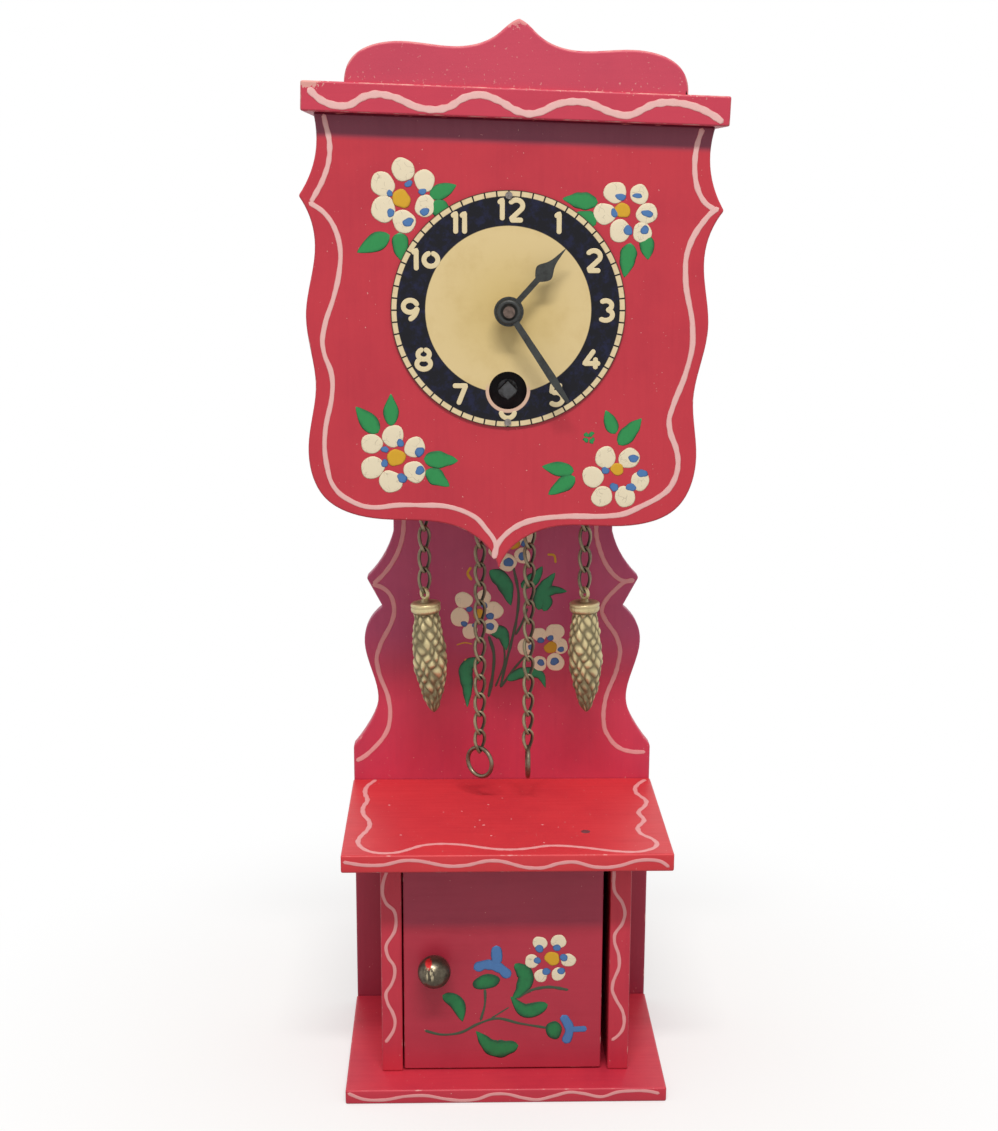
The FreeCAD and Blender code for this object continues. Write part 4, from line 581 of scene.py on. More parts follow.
def flower_spray(board, onto, petals, dots, centres, leaves, stems, seed, white=petal_paint, green=leaf_paint,
                 body="case"):
    """Paints a board's flowers in the order a painter works: stems, leaves, petals, then centres and dots."""
    if stems:
        stems = brush_lines(stems, STEM_LIFT, unevenness=0.2, seed=seed)
        paint_film(f"{board}_stems", stems, onto, stem_paint, "green_paint", body)
    paint_film(f"{board}_leaves", leaves, onto, green, "green_paint", body)
    paint_film(f"{board}_petals", dabs(petals, PETAL_LIFT, seed=seed + 2), onto, white, "white_paint", body)
    centres = dabs(centres, DOT_LIFT, PETAL_LIFT, 0.08, seed + 3)
    paint_film(f"{board}_centres", centres, onto, centre_paint, "yellow_paint", body)
    paint_film(f"{board}_dots", dots, onto, dot_paint, "blue_paint", body)


# The waist's flowers take the lighter copies of the paints: painted light in the hood's shadow.
flower_spray("waist", on_front(BACK_FACE), WAIST_PETALS, dabs(WAIST_DOTS, DOT_LIFT, PETAL_LIFT, 0.08, 25),
             WAIST_CENTRES, brush_lines(WAIST_LEAVES, LEAF_LIFT, "leaf", seed=26), WAIST_STEMS, 20,
             shade_lit_petal_paint, shade_lit_leaf_paint)
paint_film("waist_scrolls", brush_lines(WAIST_SCROLLS, STEM_LIFT, unevenness=0.2, seed=27),
           on_front(BACK_FACE), centre_paint, "yellow_paint")


# Hood box
# Two side boards and a floor with holes for the chains make a box behind the hood's front, glued to the back
# board. They are brushed with the same red as the rest.
def finish_nodes(material, *names):
    """Gives carried nodes one material."""
    for name in names:
        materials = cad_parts[name].data.materials
        materials.clear()
        materials.append(material)


HOOD_SIDE_EASE = 0.25 * MM
for side in ("left", "right"):
    eased_board(f"hood_side_{side}_painted", f"hood_side_{side}", Y, -1, boards_along_z, ease=HOOD_SIDE_EASE,
                holes=False)
finish_nodes(boards_along_x, "hood_floor")

# Hood front
# A wide fretsawn board carries the dial. It has eared sides and a pointed apron, a white line that follows
# the outline a little way in, and four flowers painted round the dial. It leans a little to one side. A
# band of painted shadow darkens its red under the cornice.
HOOD_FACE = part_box("hood_front")[0].y
HOOD_LEAN = math.radians(1.8)
HOOD_SHADE_STEPS = [(DIAL_HEIGHT + 35.5 * MM, DIAL_HEIGHT + 37.5 * MM)]
# Painted shadow: above the step, in a band under the cornice, the red is much darker and more purple.
hood_paint = red_paint(
    "red_paint_hood", ALONG_Z,
    paint=painted_shade_by_height(HOOD_SHADE_STEPS, (0.570, 0.034, 0.055), (0.228, 0.036, 0.071), lean=HOOD_LEAN),
    deep=painted_shade_by_height(HOOD_SHADE_STEPS, (0.450, 0.021, 0.044), (0.178, 0.025, 0.058), lean=HOOD_LEAN))
eased_board("hood_front_painted", "hood_front", Y, -1, hood_paint)
on_hood = on_front(HOOD_FACE, DIAL_HEIGHT, HOOD_LEAN)
HOOD_LINES = [([(-41.9, 41.2), (-41.4, 39), (-40.6, 35.9), (-40.6, 31.2), (-41.6, 27.7), (-44.5, 22)], 0.6),
    ([(-44.9, 22.2), (-41.6, 20.1), (-39.9, 18.1), (-38.3, 14.6), (-37.8, 12.1), (-38, 6.9), (-39.1, 1.6),
    (-41, -4.7), (-41.5, -8.7), (-41, -11.3), (-39.5, -15.1), (-39.1, -17.7), (-39.2, -20.4),
    (-40.6, -28.5), (-40.7, -32.6), (-40.1, -36.7), (-38.9, -40.7), (-37.2, -42.9), (-34.9, -44.4),
    (-31.1, -45.8), (-28.4, -45.9), (-24.3, -45.3), (-18.8, -45.1), (-11.9, -45.3), (-7.9, -46.5),
    (-5.4, -47.9), (-3.5, -50), (-1, -53.6), (-0.9, -56.6)], 0.58), ([(41.3, 41.2), (40.3, 37.5),
    (40, 33.6), (40.2, 31.1), (41.3, 27.3), (42.8, 25.1), (45.1, 23.6)], 0.62), ([(46, 24.1), (44.9, 23.4),
    (42.4, 20.5), (40.5, 17.2), (39.4, 13.4), (39.5, 8.1), (41.7, -2.4), (41.9, -6.5), (40.7, -13.1),
    (38.2, -20.8), (37.6, -23.5), (38, -26.3), (39.6, -30.2), (40.2, -32.9), (39.7, -37.1), (38.4, -39.6),
    (36.3, -41.5), (32.7, -43.6), (27.7, -45.9), (24.9, -46.3), (15.2, -46.7), (11.1, -47.1), (8.3, -47.6),
    (4.4, -49), (2.1, -50.6), (-0.5, -53.8), (-1.3, -57.3)], 0.66)]
white_line_paint = craft_paint("white_line_paint", (0.85, 0.53, 0.50), (0.73, 0.25, 0.26), cover=0.36)
paint_film("hood_lines", brush_lines(HOOD_LINES, LINE_LIFT, unevenness=0.13, seed=31), on_hood,
           white_line_paint)
HOOD_PETALS = [(-24.3, 29.9, 2.58), (-19.5, 27.7, 2.39), (-19.2, 22.2, 2.4), (-23.8, 18.7, 2.6),
    (-28.4, 21.2, 2.85), (-28.7, 26.6, 2.71), (22.7, 26.6, 2.47), (28.1, 26.4, 2.15), (30, 22.3, 2.35),
    (29.2, 18.1, 2.23), (24.2, 18.3, 2.48), (20.6, 21.9, 2.48), (-25.2, -29.3, 2.54), (-20.2, -31.7, 2.41),
    (-20.1, -37.4, 2.55), (-25.5, -39.8, 2.68), (-29.7, -36.7, 2.68), (-30, -31.2, 2.4),
    (23.5, -32.7, 2.49), (28.9, -32.7, 2.43), (31.7, -37.9, 2.23), (28.4, -41.7, 2.44), (23.1, -41.8, 2.44),
    (20.8, -37.3, 2.5)]
HOOD_DOTS = [(-23, 26.9, 0.97, 0.7, 20), (-27.1, 24.7, 0.71), (-19.9, 25.3, 0.97, 0.7),
    (-19.3, 21, 1.1, 0.8), (-26.8, 20.5, 0.91), (-22.9, 18.6, 1.3, 0.75, 10), (24, 25.7, 1.17, 0.7),
    (27.7, 26.1, 1.04, 0.6), (30.1, 22.3, 1.31, 0.65, -10), (29.7, 18.7, 1.05, 0.9),
    (26, 18.5, 1.18, 0.85, -20), (22.8, 22.2, 0.85, 1.2), (-23.5, -30.8, 0.94, 0.9, -30),
    (-19.1, -32.7, 1.14), (-18.9, -37, 1.07), (-22.9, -38.9, 1.21, 0.9), (-27, -35.6, 0.87),
    (-27, -32.4, 0.87, 0.9), (29.9, -32.7, 1.21, 0.8, 20), (23.6, -35.7, 0.88), (25.8, -39.5, 1.01),
    (29.7, -39.4, 1.15, 0.85), (32.1, -36.1, 1.22, 0.8, -15)]
HOOD_CENTRES = [(-24.5, 23.6, 2.07), (24.5, 22.8, 1.76), (-24.4, -34.2, 2.07), (26.3, -35.3, 1.62, 0.85)]
HOOD_LEAVES = [((-18.3, 24.4), (-12.4, 27), 1.75), ((-17.8, 23), (-13.1, 20), 1.94), ((-26.9, 15.7),
    (-34.1, 11.6), 1.95), ((-24.8, 16.3), (-24, 9.9), 1.95), ((19, 24.3), (11.1, 24.9), 1.89),
    ((18.8, 19.5), (14.4, 22.1), 1.83), ((26.7, 15.8), (25.7, 8.1), 1.9), ((30.1, 17.7), (30.8, 12.2), 1.7),
    ((-28.6, -28.7), (-33.8, -22.8), 2), ((-25.7, -27), (-25.9, -19.6), 1.67), ((-18.1, -34.3),
    (-10.2, -34.5), 2.01), ((-17.5, -36.9), (-12, -40.5), 1.88), ((16.4, -36.1), (9, -35.2), 1.75),
    ((16.7, -37.4), (10.7, -41.7), 1.82), ((25.4, -27.2), (23, -21.8), 1.61), ((26.3, -29.7), (31.3, -23.4),
    1.88)]
GREEN_TOUCHES = [(18.9, -27.6, 0.6), (20, -27.4, 0.6), (18.8, -28.8, 0.6), (20.2, -28.9, 0.67)]
hood_leaves = [([foot, tip], half) for foot, tip, half in HOOD_LEAVES]
hood_leaves = brush_lines(hood_leaves, LEAF_LIFT, "leaf", seed=33)
flower_spray("hood", on_hood, HOOD_PETALS, dabs(HOOD_DOTS, DOT_LIFT, PETAL_LIFT, 0.1, 34), HOOD_CENTRES,
             hood_leaves + dabs(GREEN_TOUCHES, LEAF_LIFT, unevenness=0.2, seed=35), [], 36)

# Cornice
# A square-edged board laid over the hood throws a shadow on its front, which the painted shadow in the
# hood's red deepens. The wave is painted on its front edge, and handling has rubbed the paint from its upper
# arris.
CORNICE_TOP, CORNICE_FACE = DIAL_HEIGHT + 47.9 * MM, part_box("cornice")[0].y
CORNICE_WAVE_HALF = 0.80


def cornice_chips(coords):
    """Most chips along the upper arris in front, in one bare patch at its left end, and in a haze towards its
    right end. All of them thin out towards the back of the board."""
    aside, back, up = upright(coords, HOOD_LEAN)
    arris = up.eased(CORNICE_TOP - 1.5 * MM, CORNICE_TOP, 0.07, 0.17)
    haze = aside.eased(27 * MM, 43 * MM, 0.0, 0.045)
    patch = up.eased(CORNICE_TOP - 2.4 * MM, CORNICE_TOP - 0.6 * MM)
    patch = aside.eased(-46 * MM, -40 * MM, 0.5, 0.0) * patch
    return (arris + (haze + patch)) * back.eased(CORNICE_FACE + MM, CORNICE_FACE + 9 * MM, 1.0, 0.35)


cornice_paint = red_paint("red_paint_cornice", ALONG_X, wear=0.60, chips=cornice_chips,
                          paint=(0.60, 0.045, 0.085), deep=(0.50, 0.035, 0.075), worn=(0.72, 0.34, 0.30))
eased_board("cornice_painted", "cornice", Y, -1, cornice_paint, holes=False)
CORNICE_WAVE = [(-45.1, 46.3), (-42.2, 43.9), (-39.9, 43), (-38.7, 42.8), (-36.2, 43), (-32.9, 44.9),
    (-30.5, 45.5), (-26.8, 45.1), (-20.8, 43), (-17, 42.8), (-14.6, 43.4), (-11.4, 45.4), (-7.6, 46.2),
    (-4, 45.2), (0.6, 43), (3, 42.6), (5.3, 43.1), (8.8, 44.8), (11.3, 45.4), (15.1, 45.4), (21.2, 43.4),
    (23.7, 43), (30.6, 45.8), (33.1, 46.1), (35.7, 46), (40.6, 44.8), (44.1, 43), (45.2, 42.2)]
cornice_wave = brush_lines([(CORNICE_WAVE, CORNICE_WAVE_HALF)], LINE_LIFT, unevenness=0.14, seed=41)
paint_film("cornice_wave", cornice_wave, on_front(CORNICE_FACE, DIAL_HEIGHT, HOOD_LEAN), white_line_paint)

# Crest
# A fretsawn pediment with a pointed tip stands on the cornice, glued along its lower edge. Its edges are
# sanded round and its tip is rubbed to pale wood.
CREST_TIP, CREST_EASE = CORNICE_TOP + 14.3 * MM, 0.6 * MM


def crest_chips(coords):
    """Fine chips all over, more of them low down, and bare wood at the tip."""
    up = upright(coords, HOOD_LEAN)[Z]
    foot = up.eased(CORNICE_TOP, CORNICE_TOP + 6 * MM, 0.135, 0.09)
    return foot + up.eased(CREST_TIP - 2.6 * MM, CREST_TIP - 0.4 * MM, 0.0, 0.4)


crest_paint = red_paint("red_paint_crest", ALONG_X, wear=0.66, chips=crest_chips, paint=(0.60, 0.058, 0.105),
                        deep=(0.50, 0.045, 0.09), worn=(0.70, 0.24, 0.24))
crest_down = -CREST_EASE * np.array([math.sin(HOOD_LEAN), math.cos(HOOD_LEAN)])
eased_board("crest_painted", "crest", Y, -1, crest_paint, ease=CREST_EASE, holes=False, sunk=crest_down)


# Nails, screws and the tin cover
# Wire nails hold the boards from behind, and a round tin cover over the works is held by three small screws.
# The metal is plain steel and tinplate, spotted with age.
@surface_group(Vector="Vector", Bright="Color", Dull="Color", Hollow="Float", Age="Float", Scale="Float",
               Polish="Float")
def metal_age(spot, bright, dull, hollow, age, scale, polish):
    """Bare metal: cloudy tarnish and small spots over the bright colour, and darkening where a piece marks
    it.
    """
    clouds, spots = spot.noise(scale, 5, 0.62), spot.noise(scale * 5, 3, 0.6)
    tarnish = (spots - 0.5) * 0.5 + ((clouds - 0.5) * 1.6 + age)
    darkening = tarnish.eased(0.1, 0.95).worked("MAXIMUM", hollow)
    return darkening.mixed(bright, dull), darkening * 0.32 + polish, spots * 0.6 + clouds * 0.6


def aged_metal(name, bright, dull, age=0.4, scale=300.0, polish=0.28, hollows="", **values):
    """Aged metal, darker where the hollows attribute says."""
    metal = surface(metal_age, Bright=bright, Dull=dull, Hollow=marked(hollows) if hollows else 0.0, Age=age,
                    Scale=scale, Polish=polish)
    return finished(name, metal, bump=0.25, relief=0.05 * MM, **{"Metallic": 1.0, **values})


finish_nodes(aged_metal("plain_steel", (0.46, 0.46, 0.47), (0.16, 0.13, 0.11), age=0.35, scale=420.0),
             "case_nails", "door_pivots", "rear_cover_screws")
finish_nodes(aged_metal("dull_tinplate", (0.58, 0.58, 0.56), (0.30, 0.28, 0.25), 0.35, 160.0, 0.34),
             "rear_cover")

# Movement
# A small spring movement is screwed to the back of the hood front: pressed brass plates on turned pillars,
# cut brass wheels, steel arbors and springs. The front plate behind the winding hole is black and the
# winding arbor nearly black, as painted shade for the depth of the hole.
finish_nodes(aged_metal("wheel_brass", (0.78, 0.57, 0.24), (0.42, 0.28, 0.12), 0.28, 260.0, 0.22),
             *"""movement_back_plate movement_pillars great_wheel center_wheel minute_wheel hour_wheel
    third_wheel fourth_wheel escape_wheel ratchet_wheel balance_wheel balance_cups cannon_pinion""".split())
finish_nodes(aged_metal("spring_steel", (0.36, 0.37, 0.40), (0.14, 0.13, 0.14), 0.30, 350.0, 0.22),
             *"""pillar_screws movement_screws mainspring hairspring click click_spring center_arbor
    lever""".split())
# Painted shade: the front plate is made black so that the winding hole looks deep and dark.
finish_nodes(aged_metal("black_lacquer", (0.013, 0.013, 0.015), (0.030, 0.028, 0.027), 0.3, 300.0, 0.5,
                        Metallic=0.0, Specular_IOR_Level=0.15), "movement_front_plate")
# Painted shade: the winding arbor's end is made nearly black, deep in the hole.
finish_nodes(aged_metal("hole_shade_steel", (0.085, 0.085, 0.088), (0.036, 0.034, 0.032), 0.4, 500.0, 0.42),
             "winding_arbor")

# Dial
# A printed tin disc is held by two pins at twelve and six. The print is a cream centre, a black ring with
# cream numerals and a cream minute track with fine ticks. A pale crescent at the lower edge of the winding
# hole is a painted highlight, for the lit wall of the hole.
CREAM, CREAM_EDGE, CREAM_STAIN = (0.71, 0.54, 0.23), (0.78, 0.62, 0.33), (0.60, 0.43, 0.17)
RING_BLACK, RING_BLUE = (0.0055, 0.0055, 0.0095), (0.012, 0.014, 0.042)
TRACK, TRACK_STAIN, HOLE_WALL_HIGHLIGHT = (0.80, 0.66, 0.40), (0.62, 0.44, 0.24), (0.72, 0.48, 0.36)
DISC_EDGE = (0.05, 0.022, 0.016)
RING_IN, RING_OUT, TRACK_OUT, PRINT_SOFT = 18.6 * MM, 25.05 * MM, 26.15 * MM, 0.10 * MM
WELL_DROP, HOLE_HIGHLIGHT_REACH = 18.0 * MM, 5.05 * MM
DIAL_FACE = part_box("dial_plate")[0].y


def dial_print(coords):
    """Rings of colour by distance from the hands' axis, ticks by the angle round it, and a painted highlight
    at the lower edge of the hole.
    """
    aside, _, up = coords.stretched((1, 1, 1), (0, 0, -DIAL_HEIGHT)).axes()
    low = up + WELL_DROP
    span, well = [(aside ** 2 + rise ** 2).worked("SQRT") for rise in (up, low)]
    turns = aside.worked("ARCTAN2", up) * (60 / (2 * math.pi))
    tick = (turns - turns.worked("ROUND")).worked("ABSOLUTE")
    clouds, grains = coords.noise(130, 4, 0.6), coords.noise(900, 3, 0.6)
    centre = (span.eased(2 * MM, RING_IN) * 0.8).mixed(CREAM, CREAM_EDGE)
    centre = (clouds.eased(0.45, 0.75) * 0.35).mixed(centre, CREAM_STAIN)
    ring = coords.noise(420, 4, 0.7).eased(0.45, 0.68).mixed(RING_BLACK, RING_BLUE)
    track = grains.eased(0.45, 0.8, 0.0, 0.5).mixed(TRACK, TRACK_STAIN)
    track = tick.eased(0.045, 0.085, 1.0, 0.0).mixed(track, RING_BLACK)
    past_in, past_out, past_track = [span.eased(edge - PRINT_SOFT, edge + PRINT_SOFT)
                                     for edge in (RING_IN, RING_OUT, TRACK_OUT)]
    # Painted highlight: a pale crescent below the lower edge of the winding hole, where light falls on its
    # wall.
    rim = well.eased(HOLE_HIGHLIGHT_REACH - PRINT_SOFT, HOLE_HIGHLIGHT_REACH + PRINT_SOFT, 1.0, 0.0)
    rim = rim * (low * -1.0).eased(-2.2 * MM, 0.4 * MM)
    colour = past_out.mixed(rim.mixed(past_in.mixed(centre, ring), HOLE_WALL_HIGHLIGHT), track)
    return past_track.mixed(colour, DISC_EDGE), grains * 0.2 + 0.30, grains + clouds


finish_nodes(finished("dial_print", dial_print, bump=0.12, relief=0.05 * MM, Specular_IOR_Level=0.22),
             "dial_plate")
finish_nodes(aged_metal("pin_steel", (0.34, 0.31, 0.29), (0.11, 0.09, 0.08), 0.45, 600.0), "dial_pins")
NUMERAL_HEIGHT, NUMERAL_WIDE, NUMERAL_HALF, NUMERAL_RING, NUMERAL_LIFT = 4.45, 1.15, 0.57, 21.96, 0.02


def arc(x, z, across, up, start, end, count=13):
    """Points of an oval arc, by angles from the right in degrees."""
    turn = np.radians(np.linspace(start, end, count))
    return np.stack([x + across * np.cos(turn), z + up * np.sin(turn)], 1)


def joined(*runs):
    """Runs of points as one path, with the doubled joints left out."""
    points = np.concatenate(runs)
    return points[np.concatenate([[True], np.linalg.norm(np.diff(points, axis=0), axis=1) > 1e-4])]


def straight(*corners):
    """A path of straight runs; points close to each corner keep it crisp when the path is smoothed."""
    corners = np.asarray(corners, float)
    near = np.array([0.0, 0.03, 0.5, 0.97, 1.0])[None, :, None]
    return joined(*(corners[:-1, None] * (1 - near) + corners[1:, None] * near))


DIGITS = {
    "0": [arc(0, 0.03, 0.30, 0.32, 90, 450, 25)],
    "1": [straight((-0.15, 0.33), (0.04, 0.50), (0.04, -0.50))],
    "2": [joined(arc(0, 0.22, 0.28, 0.28, 165, -35), straight((0.22, 0.05), (-0.28, -0.48))),
          straight((-0.28, -0.48), (0.30, -0.48))],
    "3": [arc(-0.02, 0.25, 0.26, 0.24, 150, -85), arc(-0.02, -0.22, 0.30, 0.27, 88, -150)],
    "4": [straight((0.10, 0.50), (-0.34, -0.20), (0.36, -0.20)), straight((0.14, 0.12), (0.14, -0.50))],
    "5": [straight((0.26, 0.48), (-0.18, 0.48), (-0.22, 0.06)), arc(-0.01, -0.18, 0.30, 0.31, 128, -150)],
    "6": [arc(0, -0.19, 0.30, 0.33, 172, 368, 17)],
    "7": [straight((-0.30, 0.47), (0.28, 0.47), (-0.06, -0.50))],
    "8": [arc(0, 0.25, 0.25, 0.24, 90, 450, 25), arc(0, -0.23, 0.30, 0.27, 90, 450, 25)],
    "9": [arc(0, 0.19, 0.30, 0.30, 0, 360, 25), arc(-0.22, 0.16, 0.53, 0.66, 0, -75)]}
SPREAD = {"10": 0.39, "11": 0.22, "12": 0.37}
numerals = []
for hour in map(str, range(1, 13)):
    turn = math.radians(30 * int(hour))
    middle = NUMERAL_RING * np.array([math.sin(turn), math.cos(turn)])
    for order, digit in enumerate(hour):
        shift = SPREAD.get(hour, 0) * (2 * order - 1)
        for stroke in DIGITS[digit]:
            path = middle + NUMERAL_HEIGHT * (stroke * [NUMERAL_WIDE, 1] + [shift, 0])
            numerals.append((path, NUMERAL_HALF))
numeral_print = craft_paint("numeral_print", (0.80, 0.68, 0.42), (0.66, 0.50, 0.27), cover=0.60)
paint_film("dial_numerals", brush_lines(numerals, NUMERAL_LIFT, unevenness=0.02, seed=51, step=0.12),
           on_front(DIAL_FACE, DIAL_HEIGHT), numeral_print, "dial_enamel")

# Hands
# Stamped steel hands, blued nearly black: a spade hour hand on its pipe and a plain bar over it. A pressed
# washer with a rolled rim lies on the minute hand, and a small bronze nut holds both.
hand_black = aged_metal("hand_black", (0.050, 0.054, 0.052), (0.018, 0.018, 0.017), 0.34, 420.0, 0.36,
                        Metallic=0.5)
finish_nodes(hand_black, "hour_hand", "minute_hand")
finish_nodes(aged_metal("nut_bronze", (0.20, 0.145, 0.12), (0.06, 0.045, 0.04), 0.45, 700.0), "hand_nut")
WASHER = [(0, 0.10), (1.62, 0.10), (1.74, 0.24), (1.95, 0.37), (2.2, 0.42), (2.45, 0.36), (2.64, 0.20),
          (2.72, 0.0), (0, -0.03)]
WASHER_TURNS = 48


def turned_piece(outline, turns, centre):
    """A turned solid: an outline of radius and distance back, carried round a line from front to back. Both
    its ends are on that line."""
    rows = lathe(outline[1:-1, :1], outline[1:-1, 1:], turns)[..., [X, Z, Y]]
    ends = outline[[0, -1], 1:] * [0, 1, 0]
    return np.concatenate([rows.reshape(-1, 3), ends]) + centre, capped(len(rows), turns)


hand_face = np.array([0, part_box("minute_hand")[0].y, DIAL_HEIGHT])
washer = turned_piece(np.array(WASHER) * MM * [1, -1], WASHER_TURNS, hand_face)
new_piece("hand_washer", *washer, hand_black, "center", "hand_black")

# Door
# The cabinet door is a plain board that swings on two pivot nails. A flower, two bell flowers and leaves
# are painted on it with a fine brush. A band of painted shadow under the shelf darkens its red at the top.
DOOR_FACE, DOOR_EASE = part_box("door")[0].y, 0.35 * MM
DOOR_SHADE_STEPS = [(40 * MM, 43 * MM)]
# Painted shadow: above the step, in the shelf's shadow, the red is darker.
door_paint = red_paint("red_paint_door", ALONG_X, wear=0.5,
                       paint=painted_shade_by_height(DOOR_SHADE_STEPS, (0.47, 0.031, 0.059), (0.40, 0.036, 0.074)),
                       deep=painted_shade_by_height(DOOR_SHADE_STEPS, (0.39, 0.021, 0.046), (0.31, 0.024, 0.057)))
eased_board("door_painted", "door", Y, -1, door_paint, body="door", ease=DOOR_EASE, holes=False)
dark_leaf_paint = craft_paint("dark_leaf_paint", (0.016, 0.205, 0.060), (0.006, 0.060, 0.024), cover=0.20)
DOOR_PETALS = [(8.2, 36.9, 1.77), (12.7, 37.3, 1.83), (15.1, 32.4, 1.78), (12.7, 28.8, 1.72),
    (8.5, 28.4, 1.67), (6.3, 32.2, 1.77)]
DOOR_DOTS = [(8.1, 35.5, 1.05), (12.3, 35.7, 0.94), (14, 33.1, 1), (13.4, 29.6, 0.94), (9.8, 29.5, 1),
    (7.6, 32.4, 0.89)]
DOOR_CENTRES = [(11.2, 32.9, 1.83)]
DOOR_BELLS = [([(-2.3, 36.4), (-2.1, 31.4)], 1.33), ([(-7.8, 30.3), (-4.7, 31.4), (-1.7, 30.6), (1.1, 28)],
    1.3), ([(13.8, 18), (15.6, 14.3), (14.6, 10.3)], 1.15), ([(15.7, 14.1), (19.9, 14.3)], 0.75)]
DOOR_LEAVES = [([(2.2, 31.6), (4.9, 28.3), (3.5, 24.4), (1.5, 22.1)], 2), ([(10.3, 20.8), (4.8, 19.3),
    (1.2, 23)], 1.95), ([(-15.3, 23.5), (-12.1, 21.7), (-10.4, 16.4)], 1.89), ([(3.2, 10), (-2.7, 9.3),
    (-7.2, 13.9)], 2.3)]
DOOR_BUDS = [(-4.7, 26.9, 3.44, 0.56, 8), (11.8, 14, 1.9, 1.35)]
DOOR_STEMS = [([(-19.7, 14.2), (-15.9, 13.1), (-10.8, 13.6), (-6.9, 15.7), (-2.5, 17.2), (3.7, 15.8),
    (10.1, 14.6)], 0.36), ([(-5, 25.1), (-5, 21.2), (-6.1, 16.6)], 0.32), ([(2.6, 22.5), (5.9, 24.5),
    (10.3, 25.4), (15.3, 24.6)], 0.42), ([(-3.6, 17.2), (0.9, 20.2)], 0.2)]
door_blue = brush_lines(DOOR_BELLS, LEAF_LIFT, seed=61) + dabs(DOOR_DOTS, DOT_LIFT, PETAL_LIFT, 0.05, 62)
door_green = (brush_lines(DOOR_LEAVES, LEAF_LIFT, "leaf", seed=63)
              + dabs(DOOR_BUDS, LEAF_LIFT, unevenness=0.06, seed=64))
flower_spray("door", on_front(DOOR_FACE), DOOR_PETALS, door_blue, DOOR_CENTRES, door_green, DOOR_STEMS, 65,
             green=dark_leaf_paint, body="door")

# Door knob
# A turned brass ball on a short neck is driven into the door on its stem. The brass is nearly black with
# handling, lathe rings show at its crown, bright upright streaks lie on one side, and a red patch lies on
# its upper side.
KNOB_RADIUS, KNOB_NECK, KNOB_STEM = 3.95 * MM, 2.1 * MM, 1.0 * MM
RED_PATCH_SPOT, STREAK_SPOT = np.array([-1.32, -1.85, 3.23]) * MM, np.array([-0.95, -3.3, 1.3]) * MM
KNOB_BRASS, KNOB_GRIME = (0.155, 0.130, 0.092), (0.030, 0.026, 0.021)
STREAK_BRASS, RED_PATCH, KNOB_TURNS = (0.60, 0.51, 0.33), (0.70, 0.035, 0.04), 56


def middle_of(node):
    """The corners of a node's box, and its middle."""
    low, high = [np.array(corner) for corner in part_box(node)]
    return low, high, (low + high) / 2


low, high, knob_middle = middle_of("door_knob")
knob_middle[Y] = low[Y] + KNOB_RADIUS
latitude = np.radians(np.linspace(-90, 56, 40))
grooved = KNOB_RADIUS * (1 - 0.006 * np.cos(latitude * 26) ** 8)
ball = np.stack([np.cos(latitude), np.sin(latitude)], 1) * grooved[:, None]
foot, end = DOOR_FACE - knob_middle[Y], high[Y] - knob_middle[Y]
neck = [(KNOB_NECK * 0.98, foot - 0.25 * MM), (KNOB_NECK, foot - 0.1 * MM), (KNOB_NECK * 0.98, foot),
        (KNOB_STEM, foot), (KNOB_STEM, end), (0, end)]


def knob_finish(coords):
    """Dark handled brass with bright upright streaks on one side and a red patch above."""
    brass, roughness, height = surface(metal_age, Bright=KNOB_BRASS, Dull=KNOB_GRIME, Hollow=0.0, Age=0.46,
                                       Scale=330.0, Polish=0.24)(coords)
    middle = coords.stretched((1, 1, 1), -knob_middle)
    upright_noise = middle.stretched((1, 1, 0.2)).noise(1500, 3, 0.6)

    def around(spot, wide, tall):
        """How far a point is from a spot, where one is the edge of an oval patch."""
        scale = 1 / np.array([wide, tall, tall])
        return middle.stretched(scale, -scale * spot).worked("LENGTH", kind="VectorMath", output="Value")

    streaks = around(STREAK_SPOT, 1.7 * MM, 2.6 * MM).eased(0.4, 1.0, 1.0, 0.0) * upright_noise.eased(0.44, 0.62)
    red_patch = ((upright_noise - 0.5) * 1.1 + around(RED_PATCH_SPOT, 0.85 * MM, 1.7 * MM)).eased(0.7, 1.1, 1.0, 0.0)
    return red_patch.mixed(streaks.mixed(brass, STREAK_BRASS), RED_PATCH), roughness, height


knob_brass = finished("knob_brass", knob_finish, bump=0.2, relief=0.05 * MM, Metallic=0.85)
knob = turned_piece(np.concatenate([ball, neck]), KNOB_TURNS, knob_middle)
new_piece("door_knob_turned", *knob, knob_brass, "door", "aged_brass", "door_knob")

# Chains, pegs and rings
# Two lengths of bent-wire brass chain are laid over turned pegs inside the hood, each with a weight on its
# outer end and a wire ring on its inner end. The links are twisted a quarter turn, so that the chain hangs
# flat. Their wire is darker on its inner side and at the link ends: grime, and painted shade where the
# links cross.
LINK_HALF, LINK_WIRE, LINK_PLAY, LINK_TWIST = 1.32 * MM, 0.43 * MM, 0.10 * MM, 90.0
RUN_LINKS, RUN_LENGTHS = {"weight": 4, "free": 13}, {"weight": 20.5 * MM, "free": 61.5 * MM}
RUN_ANGLES = {"left_weight": (48, 6), "right_weight": (30, 4), "left_free": (52, 30), "right_free": (12, 40)}
RUN_BODIES = {"weight": "weight", "free": "tail"}
RING_WIRE, RING_TURNS = 0.54 * MM, {"left": 52.0, "right": 0.0}
PEG_PALE, PEG_DARK = (0.62, 0.44, 0.26), (0.44, 0.28, 0.15)
chain_brass = aged_metal("chain_brass", (0.32, 0.265, 0.158), (0.022, 0.019, 0.014), 0.30, 300.0, 0.34,
                         "groove", Metallic=0.45)
finish_nodes(chain_brass, "chain_left_loop", "chain_right_loop")


